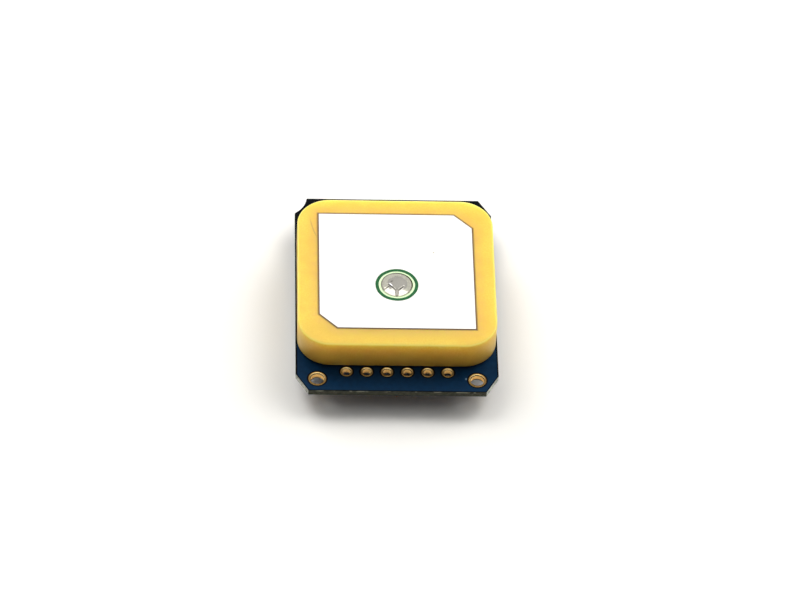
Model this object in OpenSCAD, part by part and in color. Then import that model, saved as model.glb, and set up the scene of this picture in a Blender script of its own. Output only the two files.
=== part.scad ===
// Satellite positioning module: a blue circuit board that carries a square ceramic
// patch antenna on its top, a row of plated header holes along its front edge, and
// a screened receiver, its supply and its backup cell on its underside.
// The origin is the middle of the board, on the plane that the module rests on.
// The header row is towards -Y and the antenna faces +Z. Lengths are in millimetres.

/* [Antenna] */
// Side of the square ceramic block
antenna_side = 25; // [23:0.5:36]
// Height of the ceramic block
antenna_h = 4; // [2:0.1:8]
// Radius of the block's upright corners
antenna_corner_r = 4.2; // [3:0.1:6]
// Radius of the rounded rim around the block's top
antenna_top_rim_r = 0.25; // [0.1:0.05:0.9]
// Radius of the rounded rim around the block's foot
antenna_foot_rim_r = 0.25; // [0.1:0.05:0.5]
// Distance from the board's middle to the block's, towards the header row
antenna_shift = 0.12; // [0:0.02:0.16]
// Bare ceramic left around the silver patch
patch_border = 2.75; // [1.5:0.05:5]
// Cut across two opposite corners of the patch
patch_corner_cut = 2.25; // [0.5:0.05:4]
// Thickness of the silver films fired onto the block
film_t = 0.05; // [0.03:0.01:0.1]
// Bare ceramic left around the silver film under the block
ground_border = 0.6; // [0.5:0.05:2]
// Bare ring in that film around the feed hole
ground_gap = 1; // [0.5:0.05:2]
// Thickness of the double-sided tape under the block
tape_t = 0.2; // [0.1:0.05:1]
// Distance from the block's sides to the tape
tape_border = 0.8; // [0.5:0.1:2.5]
// Distance from the feed pad to the tape
tape_gap = 0.85; // [0.2:0.05:3]

/* [Feed] */
// Distance from the antenna's middle to the feed, towards the header row
feed_offset = 2.45; // [1:0.05:4]
// Diameter of the feed pin
feed_pin_d = 0.9; // [0.6:0.05:1.2]
// Diameter of the pin's flat head
feed_head_d = 2.4; // [1.8:0.1:2.8]
// Thickness of the pin's flat head
feed_head_t = 0.15; // [0.1:0.01:0.2]
// Clearance around the pin in the ceramic
feed_clearance = 0.15; // [0.05:0.01:0.3]
// Diameter of the solder dome over the pin's head
dome_d = 4.05; // [3.4:0.05:5]
// Height of the solder dome above the patch
dome_h = 0.5; // [0.4:0.05:0.8]
// Diameter of the flat crown where the solder lies over the pin's head
dome_crown_d = 2.3; // [1.8:0.05:2.8]
// Height of the solder's edge on the patch
dome_lip = 0.06; // [0.03:0.01:0.1]
// Bare silver left between the dome and the solder-stop ring
ring_gap = 0.27; // [0.1:0.01:0.6]
// Width of the solder-stop ring
ring_w = 0.42; // [0.2:0.02:0.6]
// Thickness of the solder-stop ring
ring_t = 0.03; // [0.02:0.01:0.06]
// Gap around the pin in the board, which solder fills
feed_solder_gap = 0.1; // [0.05:0.01:0.2]
// Width of the pad around the feed hole
feed_pad_w = 0.4; // [0.3:0.05:0.6]
// Height of the solder cone around the pin under the board
feed_cone_h = 0.55; // [0.3:0.05:0.8]
// Length of bare pin left past that cone
feed_tip = 0.2; // [0.1:0.05:0.5]

/* [Board] */
// Thickness of the board
board_t = 0.8; // [0.6:0.1:1.6]
// Board left past the antenna at each side
side_margin = 0.2; // [0.1:0.05:3]
// Board left past the antenna at the front and at the back
end_margin = 4; // [3.8:0.1:8]
// Corner cut along the front and back edges
corner_cut_x = 1.6; // [0.5:0.1:2]
// Corner cut along the side edges
corner_cut_y = 2.7; // [0.5:0.1:3]
// Depth of the hollow along the cut at the back left corner
corner_hollow = 0.3; // [0.1:0.05:0.5]
// Thickness of the plated copper on the board and in its holes
plating_t = 0.05; // [0.03:0.01:0.08]

/* [Header holes] */
// Number of holes in the row
header_count = 6; // [2:1:7]
// Distance between neighbouring holes
header_pitch = 2.54; // [2:0.01:2.7]
// Diameter of a plated hole
header_hole_d = 0.95; // [0.8:0.05:1.1]
// Width of the pad around a hole
header_pad_w = 0.29; // [0.2:0.01:0.4]
// Distance from the board's front to the row
header_inset = 3.18; // [2.9:0.02:3.3]

/* [Mounting holes] */
// Diameter of a plated mounting hole
mount_hole_d = 1.6; // [1.3:0.05:2]
// Width of the pad around a mounting hole
mount_pad_w = 0.31; // [0.2:0.01:0.5]
// Distance from the board's sides to the mounting holes
mount_inset_x = 2.7; // [2.2:0.05:3.2]
// Distance from the board's front and back to the mounting holes
mount_inset_y = 1.95; // [1.6:0.05:2.6]

/* [Receiver] */
// Length of the receiver's carrier, across the board
receiver_l = 16; // [15:0.1:17]
// Width of the receiver's carrier, along the board
receiver_w = 12.2; // [10.6:0.1:13]
// Thickness of the receiver's carrier
receiver_t = 0.8; // [0.5:0.05:1.2]
// Gap between the feed pad and the receiver
receiver_gap = 3.3; // [3:0.1:4]
// Number of edge contacts on each long side
contact_count = 12; // [6:2:12]
// Distance between neighbouring contacts
contact_pitch = 1.1; // [1:0.05:1.15]
// Distance between the two contacts at the middle of a side
contact_mid_gap = 3; // [1.5:0.1:3.4]
// Diameter of the round notch in the carrier's edge at each contact
contact_d = 0.6; // [0.4:0.05:0.7]
// Width of the solder foot at each contact
contact_foot_w = 0.8; // [0.75:0.05:0.95]
// Height of the solder in each notch
contact_solder_h = 0.6; // [0.3:0.05:0.7]
// Length of each contact's pad under the carrier
contact_pad_inside = 0.6; // [0.4:0.05:1]
// Distance from the carrier's edge to the shield
shield_setback = 0.7; // [0.5:0.05:1.2]
// Height of the shield above the carrier
shield_h = 1.6; // [1.3:0.05:3]
// Thickness of the shield's sheet
shield_sheet = 0.2; // [0.1:0.05:0.3]
// Inner radius of the shield's upright corners
shield_corner_r = 0.6; // [0.3:0.05:1.5]
// Inner radius of the bend around the shield's roof
shield_bend_r = 0.15; // [0.1:0.05:0.5]

/* [Inside the receiver] */
// Side of the receiver chip
chip_side = 5; // [4:0.1:5.6]
// Height of the receiver chip
chip_h = 0.85; // [0.5:0.05:1]
// Length of the reference oscillator
oscillator_l = 2.5; // [1.6:0.1:3.2]
// Width of the reference oscillator
oscillator_w = 2; // [1.2:0.1:2.5]
// Height of the reference oscillator
oscillator_h = 0.8; // [0.5:0.05:1]
// Length of the band filter
filter_l = 1.4; // [1.1:0.1:2]
// Width of the band filter
filter_w = 1.1; // [0.9:0.1:1.6]
// Height of the band filter
filter_h = 0.5; // [0.3:0.05:1]
// Length of the clock crystal
crystal_l = 3.2; // [1.6:0.1:4.1]
// Width of the clock crystal
crystal_w = 1.5; // [1:0.1:1.8]
// Height of the clock crystal
crystal_h = 0.8; // [0.5:0.05:1]
// Length of a small capacitor inside the shield
inner_capacitor_l = 1; // [0.6:0.05:1.1]
// Width of a small capacitor inside the shield
inner_capacitor_w = 0.5; // [0.3:0.05:0.6]
// Height of a small capacitor inside the shield
inner_capacitor_h = 0.5; // [0.3:0.05:0.8]
// Number of small capacitors inside the shield
inner_capacitor_count = 8; // [2:1:9]
// Clear gap between the parts inside the shield
inner_gap = 0.5; // [0.3:0.05:0.8]

/* [Backup cell] */
// Diameter of the coin cell
cell_d = 6.8; // [5.6:0.1:7.2]
// Height of the coin cell
cell_h = 2.1; // [1.4:0.05:2.6]
// Diameter of the cell's cap
cell_cap_d = 5; // [3.6:0.1:5.2]
// Height of the cap above the crimped rim
cell_cap_rise = 0.2; // [0.1:0.05:0.4]
// Width of the seal between the cap and the rim
cell_seal_w = 0.15; // [0.1:0.05:0.2]
// Depth of the cap and the seal in the cup
cell_seat_depth = 0.4; // [0.2:0.05:0.8]
// Radius of the cup's outer edges
cell_edge_r = 0.25; // [0.1:0.05:0.4]
// Thickness of the cell's two tabs
tab_t = 0.15; // [0.1:0.01:0.2]
// Width of the cell's two tabs
tab_w = 2.4; // [1.6:0.1:3]
// Length of the tab that is welded past the cell's middle
tab_weld_l = 1.4; // [0.6:0.1:2]
// Clear gap between the cell's side and the tab that comes down beside it
tab_gap = 0.3; // [0.1:0.05:0.6]
// Inner radius of the tab's bends
tab_bend_r = 0.2; // [0.1:0.05:0.4]
// Length of each tab's foot on the board
tab_foot = 0.9; // [0.5:0.05:1.2]

/* [Chip parts] */
// Length of a chip capacitor, resistor or coil
chip_l = 1.6; // [1.4:0.05:1.7]
// Width of a chip
chip_w = 0.8; // [0.5:0.05:1]
// Height of a chip capacitor
capacitor_h = 0.8; // [0.5:0.05:1.2]
// Height of a chip resistor
resistor_h = 0.45; // [0.35:0.05:0.6]
// Height of the antenna coil
coil_h = 0.7; // [0.5:0.05:1]
// Length of the metal at each end of a chip
chip_end_l = 0.35; // [0.2:0.05:0.5]
// Thickness of the metal at each end of a chip
chip_end_t = 0.04; // [0.02:0.01:0.06]
// Thickness of a resistor's dark coat
coat_t = 0.03; // [0.02:0.01:0.04]
// Length of a solder fillet on its pad
fillet_l = 0.25; // [0.15:0.05:0.35]
// Height of a solder fillet on the end of a chip
fillet_h = 0.3; // [0.15:0.05:0.35]
// Margin of a pad around what is soldered to it
pad_margin = 0.05; // [0.02:0.01:0.1]

/* [Moulded parts] */
// Length of the voltage regulator's body
regulator_l = 2.9; // [2.6:0.1:3.2]
// Width of the voltage regulator's body
regulator_w = 1.6; // [1.2:0.1:1.8]
// Height of the voltage regulator above its pads
regulator_h = 1.1; // [0.9:0.05:1.5]
// Distance between the regulator's leads
regulator_pitch = 0.95; // [0.85:0.05:1]
// Width of the regulator's leads
regulator_lead_w = 0.4; // [0.25:0.05:0.5]
// Thickness of the regulator's leads
regulator_lead_t = 0.15; // [0.1:0.01:0.2]
// Length of the memory's body
memory_l = 4.9; // [4.8:0.1:5.4]
// Width of the memory's body
memory_w = 3.9; // [3:0.1:4.2]
// Height of the memory above its pads
memory_h = 1.5; // [1:0.05:1.8]
// Distance between the memory's leads
memory_pitch = 1.27; // [1:0.01:1.35]
// Width of the memory's leads
memory_lead_w = 0.42; // [0.3:0.01:0.5]
// Thickness of the memory's leads
memory_lead_t = 0.2; // [0.1:0.01:0.25]
// Length of the charging diode's body
diode_l = 1.7; // [1.5:0.05:2]
// Width of the charging diode's body
diode_w = 1.25; // [0.9:0.05:1.5]
// Height of the charging diode above its pads
diode_h = 0.9; // [0.7:0.05:1.1]
// Width of the diode's leads
diode_lead_w = 0.3; // [0.2:0.05:0.5]
// Thickness of the diode's leads
diode_lead_t = 0.12; // [0.08:0.01:0.16]
// Draft of the moulded sides in degrees
mould_draft = 8; // [3:1:15]
// Gap between the moulded bodies and the board's pads
mould_standoff = 0.1; // [0.05:0.01:0.2]
// Length of lead that is held inside the moulding
lead_embed = 0.3; // [0.2:0.05:0.5]
// Straight length of lead beside the moulding
lead_shoulder = 0.15; // [0.1:0.05:0.3]
// Inner radius of the leads' bends
lead_bend_r = 0.1; // [0.05:0.01:0.12]
// Length of the leads' feet
lead_foot = 0.4; // [0.3:0.05:0.5]
// Diameter of the dimple beside the memory's first lead
dimple_d = 0.6; // [0.3:0.05:0.8]
// Depth of that dimple
dimple_depth = 0.08; // [0.04:0.01:0.15]

/* [Status light] */
// Length of the light's base
light_l = 1.6; // [1.4:0.05:1.7]
// Width of the light's base
light_w = 0.8; // [0.6:0.05:1]
// Height of the light's base
light_base_h = 0.35; // [0.35:0.05:0.5]
// Length of the light's clear lens
light_lens_l = 1; // [0.7:0.05:1.1]
// Height of the light's clear lens
light_lens_h = 0.35; // [0.2:0.05:0.6]
// Length of the metal at each end of the light's base
light_end_l = 0.25; // [0.15:0.05:0.28]

/* [Layout of the underside] */
// Distance from the board's middle line to the memory and the regulator
right_x = 6.2; // [5.8:0.1:6.6]
// Distance from the board's side to the row of small parts along it
edge_inset = 1.7; // [1.3:0.05:1.9]
// Distance from the board's side to the backup cell
cell_inset = 1.9; // [1:0.1:2.2]
// Clear gap kept between neighbouring parts
part_gap = 0.8; // [0.5:0.05:1]

/* [Hidden] */
$fn = 96;
// Straight steps in each drawn bend
bend_steps = 6;
// Overlap that lets a cut run clean through a face
cut = 0.5;

// Heights, from the resting plane up
shield_roof_h = receiver_t + shield_h;
cell_stack_h = 2 * tab_t + cell_h;
light_h = light_base_h - chip_end_t + light_lens_h;
tallest_h = max(
    shield_roof_h, cell_stack_h, memory_h, regulator_h, diode_h,
    capacitor_h, resistor_h, coil_h, light_h, feed_cone_h + feed_tip
);
board_z = plating_t + tallest_h;
board_top_z = board_z + board_t;
ground_z = board_top_z + tape_t;
ceramic_z = ground_z + film_t;
patch_z = ceramic_z + antenna_h;
patch_top_z = patch_z + film_t;

// Plan of the board and its holes
board_w = antenna_side + 2 * side_margin;
board_l = antenna_side + 2 * end_margin;
patch_side = antenna_side - 2 * patch_border;
header_pad_r = header_hole_d / 2 + header_pad_w;
header_y = -board_l / 2 + header_inset;
header_spots = [for (i = [0:header_count - 1]) [(i - (header_count - 1) / 2) * header_pitch, header_y]];
mount_pad_r = mount_hole_d / 2 + mount_pad_w;
mount_x = board_w / 2 - mount_inset_x;
mount_y = board_l / 2 - mount_inset_y;
mount_spots = [for (x = [-mount_x, mount_x], y = [-mount_y, mount_y]) [x, y]];
feed_y = -feed_offset;
feed_hole_r = feed_pin_d / 2 + feed_solder_gap;
feed_pad_r = feed_hole_r + feed_pad_w;
feed_ceramic_r = feed_pin_d / 2 + feed_clearance;
feed_tail = plating_t + feed_cone_h + feed_tip;

// Plan of the underside
receiver_front_y = feed_y + feed_pad_r + receiver_gap;
receiver_y = receiver_front_y + receiver_w / 2;
contact_side = (contact_count / 2 - 1) * contact_pitch + contact_mid_gap / 2;
contact_xs = [for (i = [0:contact_count / 2 - 1]) contact_side - i * contact_pitch];
contact_reach = contact_foot_w / 2 + pad_margin;
shield_l = receiver_l - 2 * shield_setback;
shield_w = receiver_w - 2 * shield_setback;
header_back_y = header_y + header_pad_r;
receiver_pads_y = receiver_front_y - contact_reach;
chip_reach = end_reach(chip_l);
pad_w = chip_w + 2 * pad_margin;
regulator_lead = [regulator_lead_w, regulator_lead_t];
memory_lead = [memory_lead_w, memory_lead_t];
diode_lead = [diode_lead_w, diode_lead_t];
three_leads = regulator_pitch * [-1, 0, 1];
two_leads = regulator_pitch * [-1, 1];
// Leads on each side of the memory
memory_side = 4;
memory_row = [for (i = [0:memory_side - 1]) (i - (memory_side - 1) / 2) * memory_pitch];
regulator_toe = regulator_w / 2 + lead_reach(regulator_lead_t);
memory_toe = memory_w / 2 + lead_reach(memory_lead_t);
diode_toe = diode_l / 2 + lead_reach(diode_lead_t);
tab_toe = cell_d / 2 + tab_gap + 2 * tab_bend_r + tab_t + tab_foot;
cup_tab_toe = cell_d / 2 + tab_gap + tab_foot;
regulator_reach = regulator_toe + fillet_l + pad_margin;
memory_reach = memory_toe + fillet_l + pad_margin;
regulator_spot = [right_x, receiver_pads_y - part_gap - regulator_reach, 0];
memory_spot = [right_x, header_back_y + part_gap + memory_l / 2, 90];
memory_back_y = memory_spot[1] + memory_l / 2;
regulator_front_y = regulator_spot[1] - regulator_reach;
cell_x = -board_w / 2 + cell_inset + cell_d / 2;
cell_y = (header_back_y + receiver_pads_y) / 2;
cell_right_x = cell_x + cell_d / 2;
edge_x = board_w / 2 - edge_inset;
middle_x = (cell_right_x + right_x - memory_reach) / 2;
resistor_y = header_back_y + part_gap + chip_reach;
diode_spot = [middle_x, resistor_y + chip_reach + part_gap + diode_w / 2, 0];
light_spot = [edge_x, memory_spot[1] - end_reach(light_l), 90];
coil_spot = [0, (feed_y + feed_pad_r + receiver_pads_y) / 2, 90];
beside_receiver_x = (receiver_l + board_w) / 4;
step_aside = pad_w + part_gap;
step_on = 2 * chip_reach + part_gap;
resistor_spots = concat(
    [for (i = [-1:1]) [middle_x + i * step_aside, resistor_y, 90]],
    [[edge_x, light_spot[1] + end_reach(light_l) + part_gap + chip_reach, 90]]
);
capacitor_spots = concat(
    [for (side = [-1, 1]) [right_x + side * step_aside, (memory_back_y + regulator_front_y) / 2, 90]],
    [[middle_x, diode_spot[1] + diode_w / 2 + part_gap + pad_w / 2, 0]],
    [[coil_spot[0] + step_aside, coil_spot[1], 90]],
    [for (x = [-1, 1], y = [-1, 1]) [x * beside_receiver_x, receiver_y + y * step_on / 2, 90]]
);
chip_spots = concat(capacitor_spots, resistor_spots, [coil_spot]);

// Reach of a bent lead from the side of its moulding to its toe
function lead_reach(t) = lead_shoulder + 2 * lead_bend_r + t + lead_foot;

// Reach of the pads from the middle of a part that is soldered at its two ends
function end_reach(l) = l / 2 + fillet_l + pad_margin;

// Points along an arc
function arc_points(middle, r, from, to) =
    [for (i = [0:bend_steps]) let (a = from + (to - from) * i / bend_steps) middle + r * [cos(a), sin(a)]];

// Side view of a strip that leaves level at a height, bends down and ends in a flat foot
function strip_outline(back, shoulder, rise, foot, t, r) =
    let (knee = [shoulder, rise - r])
    let (heel = [shoulder + 2 * r + t, r + t])
    let (toe = heel[0] + foot)
    concat(
        [[-back, rise], [-back, rise + t]],
        arc_points(knee, r + t, 90, 0),
        arc_points(heel, r, 180, 270),
        [[toe, t], [toe, 0]],
        arc_points(heel, r + t, 270, 180),
        arc_points(knee, r, 0, 90)
    );

// Side view of a hollow solder fillet against an upright wall
function fillet_outline(l, h) = concat(
    [[0, 0]],
    [for (i = [0:bend_steps]) let (a = 90 * i / bend_steps) [l * (1 - sin(a)), h * (1 - cos(a))]]
);

// Copies at each spot, given as x, y and a turn
module at_spots(spots) {
    for (s = spots) translate([s[0], s[1], 0]) rotate(s[2]) children();
}

// The board's underside, with z running away from the board and the pads' faces at plating_t
module under_board() {
    translate([0, 0, board_z]) mirror([0, 0, 1]) children();
}

// What is soldered on the underside sits on the pads
module on_pads() {
    under_board() translate([0, 0, plating_t]) children();
}

// A side view drawn in x and z, carried across y
module across(width) {
    rotate([90, 0, 0]) linear_extrude(width, center = true) children();
}

// Half of a slab's section, with its outer corners rounded
module rim_profile(half, h, foot_r, top_r) {
    difference() {
        square([half, h]);
        if (top_r > 0) {
            translate([half - top_r, h - top_r]) corner_waste(top_r);
        }
        if (foot_r > 0) {
            translate([half - foot_r, foot_r]) mirror([0, 1]) corner_waste(foot_r);
        }
    }
}

// What is cut from a square corner to round it
module corner_waste(r) {
    difference() {
        square(2 * r);
        circle(r);
    }
}

// A bar with a rounded section, standing on z = 0
module rimmed_bar(wide, long, h, foot_r, top_r) {
    across(long) {
        rim_profile(wide / 2, h, foot_r, top_r);
        mirror([1, 0]) rim_profile(wide / 2, h, foot_r, top_r);
    }
}

// A block with round upright corners and rounded rims, standing on z = 0
module rounded_block(w, l, h, corner_r, foot_r = 0, top_r = 0) {
    rimmed_bar(w, l - 2 * corner_r, h, foot_r, top_r);
    rotate(90) rimmed_bar(l, w - 2 * corner_r, h, foot_r, top_r);
    for (side = [0, 1], end = [0, 1]) {
        mirror([side, 0, 0]) mirror([0, end, 0])
            translate([w / 2 - corner_r, l / 2 - corner_r, 0])
            rotate_extrude(angle = 90)
            rim_profile(corner_r, h, foot_r, top_r);
    }
}

// A block with drafted sides, widest at the height of its parting line
module moulding(size, parting) {
    intersection() {
        across(2 * size[1]) polygon(drafted_outline(size[0], size[2], parting));
        rotate(90) across(2 * size[0]) polygon(drafted_outline(size[1], size[2], parting));
    }
}

// Section of a moulding
function drafted_outline(w, h, parting) =
    let (low = w / 2 - parting * tan(mould_draft))
    let (high = w / 2 - (h - parting) * tan(mould_draft))
    concat(
        [[-high, h], [high, h], [w / 2, parting]],
        parting > 0 ? [[low, 0], [-low, 0]] : [],
        [[-w / 2, parting]]
    );

// A plated hole through the board with a pad on each face
module hole_lining(hole_r, pad_r) {
    rotate_extrude()
        polygon([
            [hole_r, board_z - plating_t],
            [pad_r, board_z - plating_t],
            [pad_r, board_z],
            [hole_r + plating_t, board_z],
            [hole_r + plating_t, board_top_z],
            [pad_r, board_top_z],
            [pad_r, board_top_z + plating_t],
            [hole_r, board_top_z + plating_t]
        ]);
}

module main_board() {
    corner = [board_w / 2, board_l / 2];
    color([0.06, 0.16, 0.24])
        translate([0, 0, board_z])
        difference() {
            linear_extrude(board_t)
                polygon([
                    [corner[0] - corner_cut_x, -corner[1]], [corner[0], -corner[1] + corner_cut_y],
                    [corner[0], corner[1] - corner_cut_y], [corner[0] - corner_cut_x, corner[1]],
                    [-corner[0] + corner_cut_x, corner[1]], [-corner[0], corner[1] - corner_cut_y],
                    [-corner[0], -corner[1] + corner_cut_y], [-corner[0] + corner_cut_x, -corner[1]]
                ]);
            corner_hollow_waste();
            board_holes(header_spots, header_hole_d / 2);
            board_holes(mount_spots, mount_hole_d / 2);
            board_holes([[0, feed_y]], feed_hole_r);
        }
}

// What is cut to hollow the back left corner: a cylinder that dips into most of the corner's straight cut
module corner_hollow_waste() {
    chord = norm([corner_cut_x, corner_cut_y]);
    half = 0.45 * chord;
    r = (half * half + corner_hollow * corner_hollow) / (2 * corner_hollow);
    outward = [-corner_cut_y, corner_cut_x] / chord;
    middle = [-board_w + corner_cut_x, board_l - corner_cut_y] / 2 + (r - corner_hollow) * outward;
    translate([middle[0], middle[1], -cut]) cylinder(h = board_t + 2 * cut, r = r);
}

// Drilled holes, wider than the finished holes by their plating
module board_holes(spots, hole_r) {
    for (s = spots) translate([s[0], s[1], -cut]) cylinder(h = board_t + 2 * cut, r = hole_r + plating_t);
}

module header_hole_linings() {
    color([0.9, 0.72, 0.4])
        for (s = header_spots) translate(s) hole_lining(header_hole_d / 2, header_pad_r);
}

module mounting_hole_linings() {
    color([0.9, 0.72, 0.4])
        for (s = mount_spots) translate(s) hole_lining(mount_hole_d / 2, mount_pad_r);
}

module feed_hole_lining() {
    color([0.9, 0.72, 0.4]) translate([0, feed_y, 0]) hole_lining(feed_hole_r, feed_pad_r);
}

// A flat sheet with the block's outline set in by a border, and a round hole at the feed
module sheet_under_block(border, t, hole_r) {
    side = antenna_side - 2 * border;
    difference() {
        translate([0, -antenna_shift, 0]) rounded_block(side, side, t, antenna_corner_r - border);
        translate([0, feed_y, -cut]) cylinder(h = t + 2 * cut, r = hole_r);
    }
}

module antenna_tape() {
    color([0.2, 0.19, 0.17])
        translate([0, 0, board_top_z])
        sheet_under_block(tape_border, tape_t, feed_pad_r + tape_gap);
}

module antenna_ground_film() {
    color([0.8, 0.8, 0.78])
        translate([0, 0, ground_z])
        sheet_under_block(ground_border, film_t, feed_ceramic_r + ground_gap);
}

module antenna_ceramic() {
    color([0.98, 0.83, 0.4])
        translate([0, 0, ceramic_z])
        difference() {
            translate([0, -antenna_shift, 0])
                rounded_block(
                    antenna_side, antenna_side, antenna_h,
                    antenna_corner_r, antenna_foot_rim_r, antenna_top_rim_r
                );
            translate([0, feed_y, -cut]) cylinder(h = antenna_h + 2 * cut, r = feed_ceramic_r);
        }
}

// The silver patch: two opposite corners are cut so that it answers to circular waves
module antenna_patch() {
    half = patch_side / 2;
    notch = half - patch_corner_cut;
    color([0.93, 0.93, 0.91])
        translate([0, 0, patch_z])
        difference() {
            linear_extrude(film_t)
                polygon([
                    [half, -half], [half, notch], [notch, half],
                    [-half, half], [-half, -notch], [-notch, -half]
                ]);
            translate([0, feed_y, -cut]) cylinder(h = film_t + 2 * cut, r = feed_ceramic_r);
        }
}

module feed_stop_ring() {
    inner_r = dome_d / 2 + ring_gap;
    color([0.2, 0.42, 0.24])
        translate([0, feed_y, patch_top_z])
        rotate_extrude()
        translate([inner_r, 0])
        square([ring_w, ring_t]);
}

module feed_pin() {
    foot_z = board_z - feed_tail;
    color([0.8, 0.78, 0.72])
        translate([0, feed_y, 0]) {
            translate([0, 0, foot_z]) cylinder(h = patch_top_z - foot_z, d = feed_pin_d);
            translate([0, 0, patch_top_z]) cylinder(h = feed_head_t, d = feed_head_d);
        }
}

// Solder over the pin's head: a flat crown with a hollow skirt that runs out level at its edge
module feed_solder_dome() {
    rim_r = dome_d / 2;
    run = rim_r - dome_crown_d / 2;
    rise = dome_h - dome_lip;
    skirt_r = (run * run + rise * rise) / (2 * rise);
    color([0.72, 0.73, 0.72])
        translate([0, feed_y, patch_top_z])
        difference() {
            rotate_extrude()
                difference() {
                    square([rim_r, dome_h]);
                    translate([rim_r, dome_lip + skirt_r]) circle(skirt_r);
                }
            translate([0, 0, -cut]) cylinder(h = feed_head_t + cut, d = feed_head_d);
        }
}

// Solder that fills the board's feed hole around the pin and stands below it as a hollow cone
module feed_solder_cone() {
    pin_r = feed_pin_d / 2;
    foot = [feed_pad_r - pad_margin - pin_r, feed_cone_h];
    color([0.72, 0.73, 0.72]) translate([0, feed_y, 0]) {
        rotate_extrude()
            translate([pin_r, board_z - plating_t])
            square([feed_solder_gap, board_t + 2 * plating_t]);
        on_pads() rotate_extrude() translate([pin_r, 0]) polygon(fillet_outline(foot[0], foot[1]));
    }
}

// A pad that starts at x = 0
module pad(l, w) {
    translate([0, -w / 2, 0]) cube([l, w, plating_t]);
}

// Both pads of a part that is soldered at its two ends
module end_pads(l, end_l, w) {
    inner = l / 2 - end_l - pad_margin;
    at_ends() translate([inner, 0, 0]) pad(end_reach(l) - inner, w + 2 * pad_margin);
}

// Pads under one row of feet whose toes lie at a distance
module foot_pads(ys, toe, foot, w) {
    l = foot + fillet_l + 2 * pad_margin;
    for (y = ys) translate([toe - foot - pad_margin, y, 0]) pad(l, w + 2 * pad_margin);
}

// Solder at the toes of one row of feet
module toe_fillets(ys, toe, w, t) {
    for (y = ys) translate([toe, y, 0]) across(w) polygon(fillet_outline(fillet_l, t));
}

// Copies at both ends of a part, with x pointing outwards
module at_ends() {
    for (turn = [0, 180]) rotate(turn) children();
}

module solder_pads() {
    color([0.9, 0.72, 0.4]) under_board() {
        at_spots(chip_spots) end_pads(chip_l, chip_end_l, chip_w);
        at_spots([light_spot]) end_pads(light_l, light_end_l, light_w);
        at_spots([diode_spot]) at_ends() foot_pads([0], diode_toe, lead_foot, diode_lead_w);
        at_spots([regulator_spot]) rotate(90) {
            foot_pads(three_leads, regulator_toe, lead_foot, regulator_lead_w);
            rotate(180) foot_pads(two_leads, regulator_toe, lead_foot, regulator_lead_w);
        }
        at_spots([memory_spot]) rotate(90) at_ends()
            foot_pads(memory_row, memory_toe, lead_foot, memory_lead_w);
        at_contacts() translate([-contact_pad_inside, 0, 0])
            pad(contact_pad_inside + contact_reach, contact_foot_w + 2 * pad_margin);
        translate([cell_x, cell_y, 0]) {
            rotate(90) foot_pads([0], tab_toe, tab_foot, tab_w);
            rotate(-90) foot_pads([0], cup_tab_toe, tab_foot, tab_w);
        }
    }
}

// Copies at each edge contact of the receiver, with x pointing out of the carrier
module at_contacts() {
    for (turn = [90, -90], x = concat(contact_xs, -contact_xs)) {
        translate([x, receiver_y, 0]) rotate(turn) translate([receiver_w / 2, 0, 0]) children();
    }
}

module receiver_carrier() {
    color([0.12, 0.3, 0.2]) on_pads()
        difference() {
            translate([-receiver_l / 2, receiver_front_y, 0]) cube([receiver_l, receiver_w, receiver_t]);
            at_contacts() translate([0, 0, -cut]) cylinder(h = receiver_t + 2 * cut, d = contact_d);
        }
}

// Half-round plated linings in the carrier's notches
module receiver_contacts() {
    color([0.9, 0.72, 0.4]) on_pads() at_contacts()
        rotate(90) rotate_extrude(angle = 180)
        translate([contact_d / 2 - plating_t, 0])
        square([plating_t, receiver_t]);
}

// Solder that rises in each notch and spreads in a hollow foot on its pad
module receiver_solder() {
    notch_r = contact_d / 2 - plating_t;
    foot = contact_foot_w / 2 - notch_r;
    color([0.72, 0.73, 0.72]) on_pads() at_contacts() {
        rotate(90) rotate_extrude(angle = 180) square([notch_r, contact_solder_h]);
        rotate(-90) rotate_extrude(angle = 180) {
            square([notch_r, contact_solder_h]);
            translate([notch_r, 0]) polygon(fillet_outline(foot, contact_solder_h));
        }
    }
}

// A drawn can of tinned sheet, open towards the carrier
module receiver_shield() {
    inner_l = shield_l - 2 * shield_sheet;
    inner_w = shield_w - 2 * shield_sheet;
    color([0.78, 0.79, 0.8]) on_carrier()
        difference() {
            rounded_block(
                shield_l, shield_w, shield_h,
                shield_corner_r + shield_sheet, 0, shield_bend_r + shield_sheet
            );
            rounded_block(
                inner_l, inner_w, shield_h - shield_sheet,
                shield_corner_r, 0, shield_bend_r
            );
        }
}

// The face of the receiver's carrier that the shield covers
module on_carrier() {
    on_pads() translate([0, receiver_y, receiver_t]) children();
}

// A block standing on z = 0 with its middle at a point
module standing_block(size, spot = [0, 0]) {
    translate([spot[0] - size[0] / 2, spot[1] - size[1] / 2, 0]) cube(size);
}

module receiver_chip() {
    color([0.1, 0.1, 0.11]) on_carrier() standing_block([chip_side, chip_side, chip_h]);
}

module receiver_oscillator() {
    spot = [-(chip_side + oscillator_l) / 2 - inner_gap, inner_gap + oscillator_w / 2];
    color([0.8, 0.78, 0.7]) on_carrier() standing_block([oscillator_l, oscillator_w, oscillator_h], spot);
}

module receiver_filter() {
    spot = [-(chip_side + filter_l) / 2 - inner_gap, -inner_gap - filter_w / 2];
    color([0.75, 0.75, 0.76]) on_carrier() standing_block([filter_l, filter_w, filter_h], spot);
}

module receiver_crystal() {
    color([0.8, 0.78, 0.7]) on_carrier()
        standing_block([crystal_w, crystal_l, crystal_h], [(chip_side + crystal_w) / 2 + inner_gap, 0]);
}

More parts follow.
